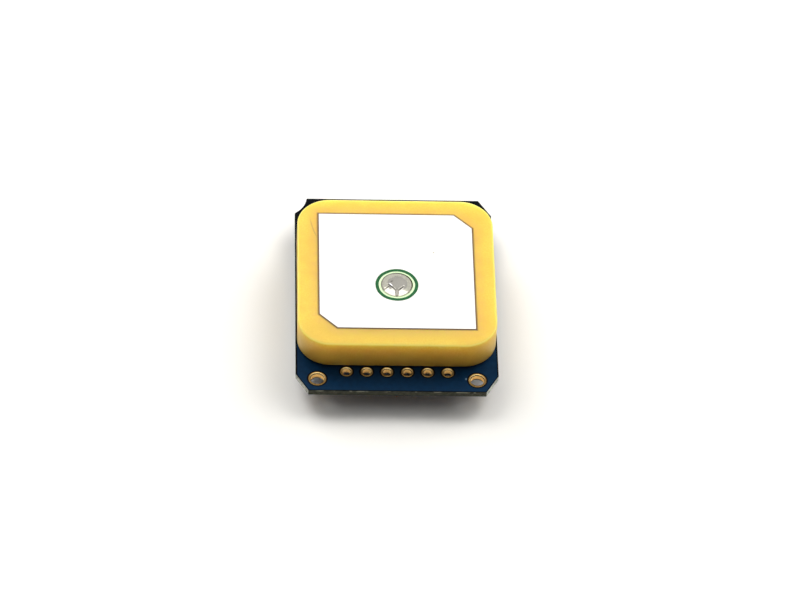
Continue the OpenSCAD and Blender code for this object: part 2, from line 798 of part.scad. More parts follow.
module receiver_capacitors() {
    size = [inner_capacitor_l, inner_capacitor_w, inner_capacitor_h];
    step = inner_capacitor_l + inner_gap;
    row_y = -(chip_side + inner_capacitor_w) / 2 - inner_gap;
    middle = (inner_capacitor_count - 1) / 2;
    color([0.7, 0.58, 0.42]) on_carrier()
        for (i = [0:inner_capacitor_count - 1]) {
            standing_block(size, [(i - middle) * step, row_y]);
        }
}

// The cell's own place, standing on the tab that lies on the board
module at_cell() {
    on_pads() translate([cell_x, cell_y, tab_t]) children();
}

// The cup is crimped around the seal, with the cap standing a little out of it
module cell_cup() {
    cup_h = cell_h - cell_cap_rise;
    color([0.76, 0.77, 0.78]) at_cell()
        difference() {
            rotate_extrude() rim_profile(cell_d / 2, cup_h, cell_edge_r, cell_edge_r);
            translate([0, 0, cup_h - cell_seat_depth])
                cylinder(h = cell_seat_depth + cut, r = cell_cap_d / 2 + cell_seal_w);
        }
}

module cell_seal() {
    color([0.15, 0.15, 0.16]) at_cell()
        translate([0, 0, cell_h - cell_cap_rise - cell_seat_depth])
        rotate_extrude()
        translate([cell_cap_d / 2, 0])
        square([cell_seal_w, cell_seat_depth]);
}

module cell_cap() {
    cap_h = cell_seat_depth + cell_cap_rise;
    color([0.8, 0.81, 0.82]) at_cell()
        translate([0, 0, cell_h - cap_h])
        rotate_extrude()
        rim_profile(cell_cap_d / 2, cap_h, 0, cell_cap_rise / 2);
}

// A strip welded to the cap that comes down beside the cell to its pad
module cell_cap_tab() {
    color([0.82, 0.81, 0.78]) on_pads()
        translate([cell_x, cell_y, 0])
        rotate(90)
        across(tab_w)
        polygon(strip_outline(
            tab_weld_l, cell_d / 2 + tab_gap, tab_t + cell_h, tab_foot, tab_t, tab_bend_r
        ));
}

// A flat strip welded under the cup
module cell_cup_tab() {
    color([0.82, 0.81, 0.78]) on_pads()
        translate([cell_x, cell_y, 0])
        rotate(-90)
        translate([-tab_weld_l, -tab_w / 2, 0])
        cube([tab_weld_l + cup_tab_toe, tab_w, tab_t]);
}

// One row of bent leads out of the side of a moulding
module lead_row(ys, half, body_h, lead) {
    for (y = ys) {
        translate([half, y, 0]) across(lead[0])
            polygon(strip_outline(
                lead_embed, lead_shoulder, (body_h - lead[1]) / 2, lead_foot, lead[1], lead_bend_r
            ));
    }
}

// A moulded body on its leads' level, parted where the leads leave it
module lead_body(size) {
    translate([0, 0, mould_standoff])
        moulding([size[0], size[1], size[2] - mould_standoff], size[2] / 2 - mould_standoff);
}

module regulator_lead_set() {
    at_spots([regulator_spot]) rotate(90) {
        lead_row(three_leads, regulator_w / 2, regulator_h, regulator_lead);
        rotate(180) lead_row(two_leads, regulator_w / 2, regulator_h, regulator_lead);
    }
}

module regulator_body() {
    color([0.1, 0.1, 0.11]) on_pads()
        difference() {
            at_spots([regulator_spot]) lead_body([regulator_l, regulator_w, regulator_h]);
            regulator_lead_set();
        }
}

module regulator_leads() {
    color([0.78, 0.78, 0.77]) on_pads() regulator_lead_set();
}

module memory_lead_set() {
    at_spots([memory_spot]) rotate(90) at_ends()
        lead_row(memory_row, memory_w / 2, memory_h, memory_lead);
}

// The dimple marks the memory's first lead
module memory_body() {
    first = [memory_l, memory_w] / 2 - [dimple_d, dimple_d];
    color([0.1, 0.1, 0.11]) on_pads()
        difference() {
            at_spots([memory_spot]) difference() {
                lead_body([memory_l, memory_w, memory_h]);
                translate([-first[0], -first[1], memory_h - dimple_depth])
                    cylinder(h = dimple_depth + cut, d = dimple_d);
            }
            memory_lead_set();
        }
}

module memory_leads() {
    color([0.78, 0.78, 0.77]) on_pads() memory_lead_set();
}

module diode_lead_set() {
    at_spots([diode_spot]) at_ends() lead_row([0], diode_l / 2, diode_h, diode_lead);
}

module diode_body() {
    color([0.1, 0.1, 0.11]) on_pads()
        difference() {
            at_spots([diode_spot]) lead_body([diode_l, diode_w, diode_h]);
            diode_lead_set();
        }
}

module diode_leads() {
    color([0.78, 0.78, 0.77]) on_pads() diode_lead_set();
}

// A chip's inner block, covered by its end metal all around at its ends
module chip_core(l, w, h) {
    translate([0, 0, chip_end_t])
        standing_block([l - 2 * chip_end_t, w - 2 * chip_end_t, h - 2 * chip_end_t]);
}

// The metal caps on both ends of a chip
module chip_ends(l, w, h, end_l) {
    difference() {
        for (side = [-1, 1]) standing_block([end_l, w, h], [side * (l - end_l) / 2, 0]);
        chip_core(l, w, h);
    }
}

module light_base() {
    color([0.9, 0.9, 0.86]) on_pads() at_spots([light_spot])
        chip_core(light_l, light_w, light_base_h);
}

module light_lens() {
    color([0.85, 0.75, 0.7]) on_pads() at_spots([light_spot])
        translate([0, 0, light_base_h - chip_end_t])
        moulding([light_lens_l, light_w - 2 * chip_end_t, light_lens_h], 0);
}

module light_terminals() {
    color([0.9, 0.72, 0.4]) on_pads() at_spots([light_spot])
        chip_ends(light_l, light_w, light_base_h, light_end_l);
}

module capacitor_bodies() {
    color([0.7, 0.58, 0.42]) on_pads() at_spots(capacitor_spots) chip_core(chip_l, chip_w, capacitor_h);
}

module capacitor_ends() {
    color([0.76, 0.76, 0.75]) on_pads() at_spots(capacitor_spots)
        chip_ends(chip_l, chip_w, capacitor_h, chip_end_l);
}

module resistor_bodies() {
    color([0.92, 0.91, 0.88]) on_pads() at_spots(resistor_spots) chip_core(chip_l, chip_w, resistor_h);
}

module resistor_coats() {
    l = chip_l - 2 * chip_end_l - 2 * pad_margin;
    color([0.08, 0.08, 0.1]) on_pads() at_spots(resistor_spots)
        translate([0, 0, resistor_h - chip_end_t])
        standing_block([l, chip_w - 2 * chip_end_t, coat_t]);
}

module resistor_ends() {
    color([0.76, 0.76, 0.75]) on_pads() at_spots(resistor_spots)
        chip_ends(chip_l, chip_w, resistor_h, chip_end_l);
}

module coil_body() {
    color([0.5, 0.56, 0.6]) on_pads() at_spots([coil_spot]) chip_core(chip_l, chip_w, coil_h);
}

module coil_ends() {
    color([0.76, 0.76, 0.75]) on_pads() at_spots([coil_spot])
        chip_ends(chip_l, chip_w, coil_h, chip_end_l);
}

// Solder fillets against the ends of the chips and at the toes of the leads and tabs
module solder_fillets() {
    color([0.72, 0.73, 0.72]) on_pads() {
        at_spots(chip_spots) at_ends() toe_fillets([0], chip_l / 2, chip_w, fillet_h);
        at_spots([light_spot]) at_ends() toe_fillets([0], light_l / 2, light_w, fillet_h);
        at_spots([diode_spot]) at_ends()
            toe_fillets([0], diode_toe, diode_lead_w, diode_lead_t);
        at_spots([regulator_spot]) rotate(90) {
            toe_fillets(three_leads, regulator_toe, regulator_lead_w, regulator_lead_t);
            rotate(180) toe_fillets(two_leads, regulator_toe, regulator_lead_w, regulator_lead_t);
        }
        at_spots([memory_spot]) rotate(90) at_ends()
            toe_fillets(memory_row, memory_toe, memory_lead_w, memory_lead_t);
        translate([cell_x, cell_y, 0]) {
            rotate(90) toe_fillets([0], tab_toe, tab_w, tab_t);
            rotate(-90) toe_fillets([0], cup_tab_toe, tab_w, tab_t);
        }
    }
}

main_board();
header_hole_linings();
mounting_hole_linings();
feed_hole_lining();
antenna_tape();
antenna_ground_film();
antenna_ceramic();
antenna_patch();
feed_stop_ring();
feed_pin();
feed_solder_dome();
feed_solder_cone();
solder_pads();
receiver_carrier();
receiver_contacts();
receiver_solder();
receiver_shield();
receiver_chip();
receiver_oscillator();
receiver_filter();
receiver_crystal();
receiver_capacitors();
cell_cup();
cell_seal();
cell_cap();
cell_cap_tab();
cell_cup_tab();
regulator_body();
regulator_leads();
memory_body();
memory_leads();
diode_body();
diode_leads();
light_base();
light_lens();
light_terminals();
capacitor_bodies();
capacitor_ends();
resistor_bodies();
resistor_coats();
resistor_ends();
coil_body();
coil_ends();
solder_fillets();
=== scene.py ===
"""Looks of a satellite positioning module: a ceramic patch antenna on a small blue board.

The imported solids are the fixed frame. This script dresses them, stands finer surfaces in for the
pieces that need more shape than a solid gives, and sets up the studio around the part.
Sizes are in millimetres unless a name says otherwise, and meshes are in metres.
"""

import logging
import math
from collections.abc import Iterable
from dataclasses import dataclass, replace
from enum import Enum

import bmesh
import bpy
import numpy as np
from mathutils import Matrix, Vector


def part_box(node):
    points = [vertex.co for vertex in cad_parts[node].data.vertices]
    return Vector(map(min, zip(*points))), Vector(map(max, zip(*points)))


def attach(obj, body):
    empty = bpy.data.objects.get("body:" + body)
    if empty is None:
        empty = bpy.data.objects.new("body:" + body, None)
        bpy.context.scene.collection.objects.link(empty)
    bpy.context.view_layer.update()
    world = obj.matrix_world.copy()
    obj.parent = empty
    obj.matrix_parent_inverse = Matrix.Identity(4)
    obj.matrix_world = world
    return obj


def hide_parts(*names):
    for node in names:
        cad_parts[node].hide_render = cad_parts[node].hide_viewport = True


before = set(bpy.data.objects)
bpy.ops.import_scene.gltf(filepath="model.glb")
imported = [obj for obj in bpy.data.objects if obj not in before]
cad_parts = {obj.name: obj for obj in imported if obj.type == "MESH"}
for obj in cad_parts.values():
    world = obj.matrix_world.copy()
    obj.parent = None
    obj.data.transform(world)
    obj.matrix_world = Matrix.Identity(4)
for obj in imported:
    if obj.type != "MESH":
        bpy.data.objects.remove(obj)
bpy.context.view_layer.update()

MM = 0.001
BODY = "root"
LOG = logging.getLogger("gps_module")

Array = np.ndarray
Tree = bpy.types.NodeTree
Socket = bpy.types.NodeSocket
Value = Socket | float
Mark = tuple[Socket, str]
Spot = tuple[float, float]
Span = tuple[float, float]
Side = tuple[Spot, float]
Wave = tuple[float, int, float]

# Sockets of Blender's colour mix, which gives several sockets the same name
MIX_FACTOR, MIX_A, MIX_B, MIX_OUT = 0, 6, 7, 2
WHITE = "#FFFFFF"
# Noise levels between which a grain goes from its dark tone to its light one
GRAIN_LEVELS: Span = (0.3, 0.7)
# Width of a patch of even gloss, in grains
GLOSS_GRAINS = 6
# Points closer than this are welded, and edges that turn by more degrees than this stay sharp
WELD_GAP, SHARP_TURN = 1e-4, 50.0
# The corners of a square, once round
CORNERS = np.array([[1, 1], [-1, 1], [-1, -1], [1, -1]])


class Wrap(Enum):
    """Which ways a grid of points closes on itself: along its rows, along its columns."""

    AROUND = (False, True)
    TORUS = (True, True)


# The frame


def box(node: str) -> tuple[Array, Array]:
    """The lowest and highest corner of a solid.

    Args:
        node: The solid's name.

    Returns:
        Both corners.
    """
    low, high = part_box(node)
    return np.array(low) / MM, np.array(high) / MM


# The feed's axis, in the middle of its printed ring
FEED: Spot = tuple((sum(box("feed_stop_ring"))[:2] / 2).tolist())
# Creases in the feed's solder, each from one end to the other, measured from the feed's axis, with their
# half width and the colour of the painted shade that lies in them
FEED_CREASES: tuple[tuple[Spot, Spot], ...] = (
    ((-1.13, -0.15), (-0.27, -1.2)),
    ((-1.5, -0.74), (-0.86, -0.52)),
    ((0.24, -1.22), (0.86, -0.66)),
)
CREASE_W = 0.08
CREASE_SHADE = "#3E3A33"

# Colour and nodes


def linear(code: str) -> tuple[float, float, float, float]:
    """Turn an sRGB hex colour into linear light.

    Args:
        code: A hash and six hex digits.

    Returns:
        Red, green and blue in linear light, and an alpha of one.
    """
    srgb = np.array([int(code[i : i + 2], 16) for i in (1, 3, 5)]) / 255
    light = np.where(srgb <= 0.04045, srgb / 12.92, ((srgb + 0.055) / 1.055) ** 2.4)
    return (*light.tolist(), 1.0)


def add_node(
    tree: Tree, kind: str, settings: dict | None = None, inputs: dict | None = None
) -> bpy.types.Node:
    """Add one node with its settings and links.

    Args:
        tree: The tree that takes the node.
        kind: Blender's name for the node's type.
        settings: Values of the node's own properties.
        inputs: For each input socket, a value or the socket that feeds it.

    Returns:
        The new node.
    """
    node = tree.nodes.new(kind)
    for key, value in (settings or {}).items():
        setattr(node, key, value)
    for key, value in (inputs or {}).items():
        if isinstance(value, Socket):
            tree.links.new(value, node.inputs[key])
        else:
            node.inputs[key].default_value = value
    return node


def speckle(tree: Tree, place: Socket, size: float, levels: Span, peak: Value = 1.0) -> Socket:
    """A cloudy pattern, spread between two of its levels.

    Args:
        tree: The material's tree.
        place: Coordinates in metres.
        size: Width of one cloud.
        levels: The noise levels that give 0 and the peak.
        peak: The strongest factor.

    Returns:
        A factor from 0 to the peak.
    """
    grain = {"Vector": place, "Scale": 1 / (size * MM), "Detail": 4.0}
    noise = add_node(tree, "ShaderNodeTexNoise", inputs=grain)
    spread = {"Value": noise.outputs[0], "From Min": levels[0], "From Max": levels[1], "To Max": peak}
    return add_node(tree, "ShaderNodeMapRange", inputs=spread).outputs["Result"]


def oval_reach(tree: Tree, place: Socket, middle: Spot, reach: Spot, turn: float = 0.0) -> Socket:
    """How far out a place lies in an upright oval: 0 on its axis and 1 at its edge.

    The place is moved to the oval's middle, turned and divided by its half widths, and the answer is
    its length. Heights are divided by a metre, so they hardly count.

    Args:
        tree: The material's tree.
        place: Coordinates in metres.
        middle: The oval's middle.
        reach: Its half widths.
        turn: Its turn in degrees.

    Returns:
        The share of the way to the edge.
    """
    moved = {
        "Vector": place,
        "Location": (middle[0] * MM, middle[1] * MM, 0.0),
        "Rotation": (0.0, 0.0, math.radians(turn)),
        "Scale": (reach[0] * MM, reach[1] * MM, 1.0),
    }
    inside = add_node(tree, "ShaderNodeMapping", {"vector_type": "TEXTURE"}, moved).outputs[0]
    return add_node(tree, "ShaderNodeVectorMath", {"operation": "LENGTH"}, {0: inside}).outputs["Value"]


def hoop(tree: Tree, place: Socket, middle: Spot, radius: float, half: float, peak: Value) -> Socket:
    """A round line: full where the distance from an upright axis is close enough to a radius.

    Args:
        tree: The material's tree.
        place: Coordinates in metres.
        middle: Where the axis stands.
        radius: The line's radius.
        half: Half the line's width.
        peak: The strongest factor.

    Returns:
        A factor from 0 to the peak.
    """
    near = {0: oval_reach(tree, place, middle, (radius, radius)), 1: 1.0, 2: half / radius}
    line = add_node(tree, "ShaderNodeMath", {"operation": "COMPARE"}, near).outputs[0]
    return add_node(tree, "ShaderNodeMapRange", inputs={"Value": line, "To Max": peak}).outputs["Result"]


def by_height(
    tree: Tree, place: Socket, start: float, end: float, foot: Value = 0.0, peak: Value = 1.0
) -> Socket:
    """A value that changes evenly between two heights and stays as it is past them.

    Args:
        tree: The material's tree.
        place: Coordinates in metres.
        start: Where the change starts.
        end: Where it ends, above or below the start.
        foot: The value at the start.
        peak: The value at the end.

    Returns:
        The value.
    """
    height = add_node(tree, "ShaderNodeSeparateXYZ", inputs={0: place}).outputs["Z"]
    ends = {"Value": height, "From Min": start * MM, "From Max": end * MM, "To Min": foot, "To Max": peak}
    return add_node(tree, "ShaderNodeMapRange", inputs=ends).outputs["Result"]


def layer(tree: Tree, place: Socket, low: float, high: float) -> Socket:
    """A level layer: full between two heights.

    Args:
        tree: The material's tree.
        place: Coordinates in metres.
        low: The layer's lower face.
        high: Its upper face.

    Returns:
        A factor of 0 or 1.
    """
    height = add_node(tree, "ShaderNodeSeparateXYZ", inputs={0: place}).outputs["Z"]
    between = {0: height, 1: (low + high) / 2 * MM, 2: (high - low) / 2 * MM}
    return add_node(tree, "ShaderNodeMath", {"operation": "COMPARE"}, between).outputs[0]


def past_sides(tree: Tree, place: Socket, sides: Iterable[Side]) -> Socket:
    """How far a place lies outside a straight-sided outline: the most that it lies past any side.

    Args:
        tree: The material's tree.
        place: Coordinates in metres.
        sides: For each side, the direction that it faces and its distance from the axis.

    Returns:
        The distance in metres, below zero inside.
    """
    far: Value = -1.0
    for (x, y), reach in sides:
        ends = {0: place, 1: (x, y, 0.0)}
        along = add_node(tree, "ShaderNodeVectorMath", {"operation": "DOT_PRODUCT"}, ends).outputs["Value"]
        past = add_node(tree, "ShaderNodeMath", {"operation": "SUBTRACT"}, {0: along, 1: reach * MM})
        most = {0: past.outputs[0], 1: far}
        far = add_node(tree, "ShaderNodeMath", {"operation": "MAXIMUM"}, most).outputs[0]
    return far


# Finishes


@dataclass(frozen=True)
class Smudge:
    """An oval stain: its middle, half widths and colour, its turn in degrees and how soft its edge is."""

    middle: Spot
    reach: Spot
    tone: str
    turn: float = 0.0
    soft: float = 0.1

    def mark(self, tree: Tree, place: Socket) -> Mark:
        """Where the stain shows, and its colour.

        Args:
            tree: The material's tree.
            place: Coordinates in metres.

        Returns:
            The factor and the colour.
        """
        out = oval_reach(tree, place, self.middle, self.reach, self.turn)
        fade = {"Value": out, "From Min": 1 + self.soft, "From Max": 1 - self.soft}
        return add_node(tree, "ShaderNodeMapRange", inputs=fade).outputs["Result"], self.tone


@dataclass(frozen=True)
class Finish:
    """A finish with two tones in a fine grain, a relief of its own and an uneven gloss.

    The grain is in millimetres and so is the relief's height. The stretch divides the grain's
    frequency along each axis, so a large number draws it out. The scatter is the share of light that
    goes in and comes out nearby, within a reach of so many millimetres for red, green and blue.
    """

    name: str
    light: str
    dark: str
    grain: float
    relief: float = 0.0
    roughness: float = 0.5
    gloss_swing: float = 0.06
    metallic: float = 0.0
    ior: float = 1.5
    specular: float = 0.5
    transmission: float = 0.0
    scatter: float = 0.0
    scatter_reach: tuple[float, float, float] = (1.0, 1.0, 1.0)
    stretch: tuple[float, float, float] = (1.0, 1.0, 1.0)
    smudges: tuple[Smudge, ...] = ()

    def material(self) -> bpy.types.Material:
        """Build the material, or find it if it is built already.

        Returns:
            The material.
        """
        known = bpy.data.materials.get(self.name)
        if known:
            return known
        made = bpy.data.materials.new(self.name)
        made.use_nodes = True
        tree = made.node_tree
        tree.nodes.clear()
        place = add_node(tree, "ShaderNodeTexCoord").outputs["Object"]
        surface = add_node(
            tree,
            "ShaderNodeBsdfPrincipled",
            inputs={
                "Metallic": self.metallic,
                "IOR": self.ior,
                "Specular IOR Level": self.specular,
                "Transmission Weight": self.transmission,
                "Subsurface Weight": self.scatter,
                "Subsurface Radius": self.scatter_reach,
                "Subsurface Scale": MM,
                "Base Color": self.colour(tree, place),
                "Roughness": self.gloss(tree, place),
                "Normal": self.shape(tree, place),
            },
        )
        add_node(tree, "ShaderNodeOutputMaterial", inputs={"Surface": surface.outputs["BSDF"]})
        return made

    def drawn_out(self, tree: Tree, place: Socket) -> Socket:
        """The coordinates that the grain reads, drawn out along the stretch."""
        scale = tuple(1 / s for s in self.stretch)
        return add_node(tree, "ShaderNodeMapping", inputs={"Vector": place, "Scale": scale}).outputs[0]

    def colour(self, tree: Tree, place: Socket) -> Socket:
        """The two tones in their grain, with each mark laid over them in turn.

        Args:
            tree: The material's tree.
            place: Coordinates in metres.

        Returns:
            The colour.
        """
        shade: Socket | tuple = linear(self.dark)
        grain = speckle(tree, self.drawn_out(tree, place), self.grain, GRAIN_LEVELS)
        for factor, tone in [(grain, self.light), *self.marks(tree, place)]:
            sockets = {MIX_FACTOR: factor, MIX_A: shade, MIX_B: linear(tone)}
            shade = add_node(tree, "ShaderNodeMix", {"data_type": "RGBA"}, sockets).outputs[MIX_OUT]
        return shade

    def marks(self, tree: Tree, place: Socket) -> list[Mark]:
        """What lies over the grain, from the lowest up: for each mark, where it shows and its colour."""
        return [smudge.mark(tree, place) for smudge in self.smudges]

    def gloss(self, tree: Tree, place: Socket) -> Socket:
        """Roughness that wanders over patches several grains wide.

        Args:
            tree: The material's tree.
            place: Coordinates in metres.

        Returns:
            The roughness.
        """
        patches = speckle(tree, self.drawn_out(tree, place), GLOSS_GRAINS * self.grain, GRAIN_LEVELS)
        limits = {
            "Value": patches,
            "To Min": self.roughness - self.gloss_swing,
            "To Max": self.roughness + self.gloss_swing,
        }
        return add_node(tree, "ShaderNodeMapRange", inputs=limits).outputs["Result"]

    def shape(self, tree: Tree, place: Socket) -> Socket:
        """The grain's relief as a bump.

        Args:
            tree: The material's tree.
            place: Coordinates in metres.

        Returns:
            The bumped normal.
        """
        height = speckle(tree, self.drawn_out(tree, place), self.grain, (0.0, 1.0))
        relief = {"Strength": 1.0, "Distance": self.relief * MM, "Height": height}
        return add_node(tree, "ShaderNodeBump", inputs=relief).outputs["Normal"]


@dataclass(frozen=True)
class PatchedCeramic(Finish):
    """Fired ceramic that has taken a tint from the silver paste printed on it, with one scratch.

    The patch is a square, as wide as its solid, with two opposite corners cut off. The scratch is the
    stretch of a round line that lies near its middle. The sides are painted darker towards the foot as
    painted shade, and a band round the top's rim is painted pale as painted light. A core is the share
    of a width that shows fully before it fades.
    """

    cloudy: str = "#F0C245"
    cloud_w: float = 3.0
    cloud_levels: Span = (0.45, 0.75)
    # Painted shade: the sides darken to the deep tone from the plain height down to the deep height.
    # Painted light: a pale band round the top's rim
    deep: str = "#CA9E44"
    deep_z: float = 3.5
    plain_z: float = 7.3
    painted_rim_light: str = "#FFDB62"
    rim_light_low: float = 7.35
    rim_light_high: float = 7.49
    patch: str = "antenna_patch"
    patch_cut: float = 2.25
    line: str = "#70491A"
    line_w: float = 0.33
    line_core: float = 0.3
    stain: str = "#EDB85A"
    stain_w: float = 1.5
    ragged: float = 0.7
    ragged_levels: Span = (0.2, 0.8)
    scratch: str = "#DCAF4A"
    scratch_axis: Spot = (1.16, 10.28)
    scratch_r: float = 12.08
    scratch_half: float = 0.09
    scratch_middle: Spot = (-10.46, 7.3)
    scratch_reach: float = 2.1
    scratch_core: float = 0.4

    def marks(self, tree: Tree, place: Socket) -> list[Mark]:
        """Clouds, the sides' painted shade, the rim's painted light, smudges of painted shade, a stain
        near the patch, the scratch and a burnt edge.

        Args:
            tree: The material's tree.
            place: Coordinates in metres.

        Returns:
            For each mark, where it shows and its colour.
        """
        mottled = speckle(tree, place, self.cloud_w, self.cloud_levels)
        # Painted shade, darker towards the foot
        fired = by_height(tree, place, self.plain_z, self.deep_z)
        # Painted light, a pale band round the top's rim
        rim = layer(tree, place, self.rim_light_low, self.rim_light_high)
        half, lean = box(self.patch)[1][0], math.sqrt(0.5)
        cut = (2 * half - self.patch_cut) * lean
        square = [((1.0, 0.0), half), ((-1.0, 0.0), half), ((0.0, 1.0), half), ((0.0, -1.0), half)]
        away = past_sides(tree, place, [*square, ((lean, lean), cut), ((-lean, -lean), cut)])
        cloud = speckle(tree, place, self.ragged, self.ragged_levels)
        tint = {"Value": away, "From Min": self.stain_w * MM, "From Max": 0.0, "To Max": cloud}
        warm = add_node(tree, "ShaderNodeMapRange", inputs=tint).outputs["Result"]
        edge = {"Value": away, "From Min": self.line_w * MM, "From Max": self.line_core * self.line_w * MM}
        burnt = add_node(tree, "ShaderNodeMapRange", inputs=edge).outputs["Result"]
        stretch = oval_reach(tree, place, self.scratch_middle, (self.scratch_reach, self.scratch_reach))
        fade = {"Value": stretch, "From Min": 1.0, "From Max": self.scratch_core}
        near = add_node(tree, "ShaderNodeMapRange", inputs=fade).outputs["Result"]
        scored = hoop(tree, place, self.scratch_axis, self.scratch_r, self.scratch_half, near)
        return [
            (mottled, self.cloudy),
            (fired, self.deep),
            (rim, self.painted_rim_light),
            *super().marks(tree, place),
            (warm, self.stain),
            (scored, self.scratch),
            (burnt, self.line),
        ]


@dataclass(frozen=True)
class LinedSolder(Finish):
    """Solder over the feed: bright on its skirt, dull on its level crown, with a dark line along its rim.

    The line is thick within the reach of a place beside the rim, and thins out across the fade, which
    is in shares of that reach.
    """

    feed: Spot = FEED
    crown_z: float = 7.9
    crown_fade: float = 0.04
    crown: str = "#A5A29A"
    rim_r: float = 1.94
    rim_half: float = 0.095
    rim_line: str = "#3A3020"
    thick_at: Spot = (1.5, -1.25)
    thick_reach: float = 1.9
    thick_fade: Span = (0.7, 1.2)
    thin: float = 0.4

    def marks(self, tree: Tree, place: Socket) -> list[Mark]:
        """The crown's dull skin, the smudges and a dark line along the rim, thickest at one side.

        Args:
            tree: The material's tree.
            place: Coordinates in metres.

        Returns:
            For each mark, where it shows and its colour.
        """
        dull = by_height(tree, place, self.crown_z - self.crown_fade, self.crown_z)
        side = oval_reach(tree, place, self.thick_at, (self.thick_reach, self.thick_reach))
        near, far = self.thick_fade
        swell = {"Value": side, "From Min": far, "From Max": near, "To Min": self.thin}
        share = add_node(tree, "ShaderNodeMapRange", inputs=swell).outputs["Result"]
        rim = hoop(tree, place, self.feed, self.rim_r, self.rim_half, share)
        return [(dull, self.crown), *super().marks(tree, place), (rim, self.rim_line)]


@dataclass(frozen=True)
class DrilledPlate(Finish):
    """Plate on a drilled board: smooth and dull on the pads, rough down the holes' walls and painted paler
    there, as painted light inside the holes.

    Each depth is where a change from the pads' face ends. The core is the share of a depth, next to
    the face, that still is as the face is.
    """

    node: str = "header_hole_linings"
    pad: str = "#947544"
    pad_depth: float = 0.04
    wall_depth: float = 0.12
    wall_roughness: float = 0.95
    core: float = 0.3

    def depths(self, depth: float) -> Span:
        """The heights between which the plate changes down to a depth, the lower one first."""
        face = box(self.node)[1][2]
        return face - depth, face - self.core * depth

    def marks(self, tree: Tree, place: Socket) -> list[Mark]:
        """The dull face of the pads."""
        return [(by_height(tree, place, *self.depths(self.pad_depth)), self.pad)]

    def gloss(self, tree: Tree, place: Socket) -> Socket:
        """Roughness that rises from the pads' to the walls'."""
        smooth = super().gloss(tree, place)
        return by_height(tree, place, *self.depths(self.wall_depth), self.wall_roughness, smooth)


@dataclass(frozen=True)
class MaskedLaminate(Finish):
    """Woven glass laminate under coloured solder stop, with its plies open along the cut edges.

    The heights come from the board's solid. The stop is lighter over the copper under it. Where the
    copper's sides are given, the upper face has the darker bare tone past them, which also paints the
    shade beside and behind the block. Where sawn sides are given, the cut edges past them are white
    with broken glass, which also paints the light that falls on those sides.
    """

    node: str = "main_board"
    mask: float = 0.03
    resin: str = "#44463E"
    glass: str = "#606257"
    ply: float = 0.16
    bundle: float = 0.5
    bundle_levels: Span = (0.4, 0.62)
    chip: str = "#9A9C8C"
    chip_l: float = 1.3
    chip_h: float = 0.28
    chip_core: float = 0.4
    chip_levels: Span = (0.53, 0.58)
    copper: tuple[Side, ...] = ()
    bare_and_shade: str = "#05090F"
    sawn_and_lit: tuple[Side, ...] = ()
    broken_and_lit: str = "#D5DAD2"
    broken_levels: Span = (0.3, 0.5)
    fade: float = 0.05

    def outside(self, tree: Tree, place: Socket, sides: Iterable[Side], peak: Socket) -> Socket:
        """A factor that fades in past the sides of an outline, up to the peak."""
        past = {"Value": past_sides(tree, place, sides), "From Max": self.fade * MM, "To Max": peak}
        return add_node(tree, "ShaderNodeMapRange", inputs=past).outputs["Result"]

    def marks(self, tree: Tree, place: Socket) -> list[Mark]:
        """The bare margin, which also paints shade, smudges, the cut edges' resin and glass, chips along
        the top, and broken glass that also paints light on the sawn sides.

        Args:
            tree: The material's tree.
            place: Coordinates in metres.

        Returns:
            For each mark, where it shows and its colour.
        """
        low, high = (end[2] for end in box(self.node))
        cut = layer(tree, place, low + self.mask, high - self.mask)
        lengths = {"Vector": place, "Scale": (1.0, 1.0, self.bundle / self.ply)}
        woven = add_node(tree, "ShaderNodeMapping", inputs=lengths).outputs[0]
        ends = speckle(tree, woven, self.bundle, self.bundle_levels, cut)
        chipped, full = high - self.chip_h, high - self.chip_core * self.chip_h
        along_top = by_height(tree, place, chipped, full, peak=cut)
        chips = speckle(tree, place, self.chip_l, self.chip_levels, along_top)
        laid = [*super().marks(tree, place), (cut, self.resin), (ends, self.glass), (chips, self.chip)]
        # The near-black margin is bare laminate, and also painted shade beside and behind the block
        if self.copper:
            above = layer(tree, place, (low + high) / 2, high + self.mask)
            laid.insert(0, (self.outside(tree, place, self.copper, above), self.bare_and_shade))
        # The sawn sides' white broken glass is also painted light
        if self.sawn_and_lit:
            lit_open_glass = self.outside(tree, place, self.sawn_and_lit, cut)
            laid.append((speckle(tree, woven, self.bundle, self.broken_levels, lit_open_glass), self.broken_and_lit))
        return laid


def crease_shade(start: Spot, end: Spot) -> Smudge:
    """The painted shade in a crease: a thin oval from one end to the other.

    Args:
        start: One end, from the feed's axis.
        end: The other end.

    Returns:
        The stain.
    """
    run = np.subtract(end, start)
    middle = np.add(start, end) / 2 + FEED
    turn = math.degrees(math.atan2(run[1], run[0]))
    reach = (float(np.hypot(*run)) / 2, CREASE_W)
    return Smudge(tuple(middle.tolist()), reach, CREASE_SHADE, turn, soft=0.5)


# Dielectric ceramic, pressed, fired and tumbled: a warm, faintly clouded yellow with a satin face and a
# powdery grain. Light goes a little way into it, so its rims glow, and painted shade lies along the front
# of its top
ANTENNA_CERAMIC = PatchedCeramic(
    "sintered_antenna_ceramic", "#FCD350", "#F5C640", 0.22, 0.004, roughness=0.4, ior=1.7, specular=0.2,
    scatter=1.0, scatter_reach=(2.8, 2.7, 2.2),
    # Painted shade along the front of the top
    smudges=(Smudge((-0.5, -9.75), (9.5, 1.6), "#E3BF45", soft=0.5),),
)
# Silver paste, screen printed and fired: an almost white metal, matt from the mesh and the frit. Flux
# has run out around the feed and left it pale green, and one speck of dirt lies on it
PATCH_SILVER = Finish(
    "fired_silver_paste", "#DEDDD9", "#D8D7D2", 0.12, 0.003, roughness=0.5, metallic=1.0,
    smudges=(
        Smudge(FEED, (2.31, 2.31), "#C8DFB4", soft=0.03),
        Smudge((4.77, 3.19), (0.1, 0.08), "#8F8468", soft=0.4),
    ),
)
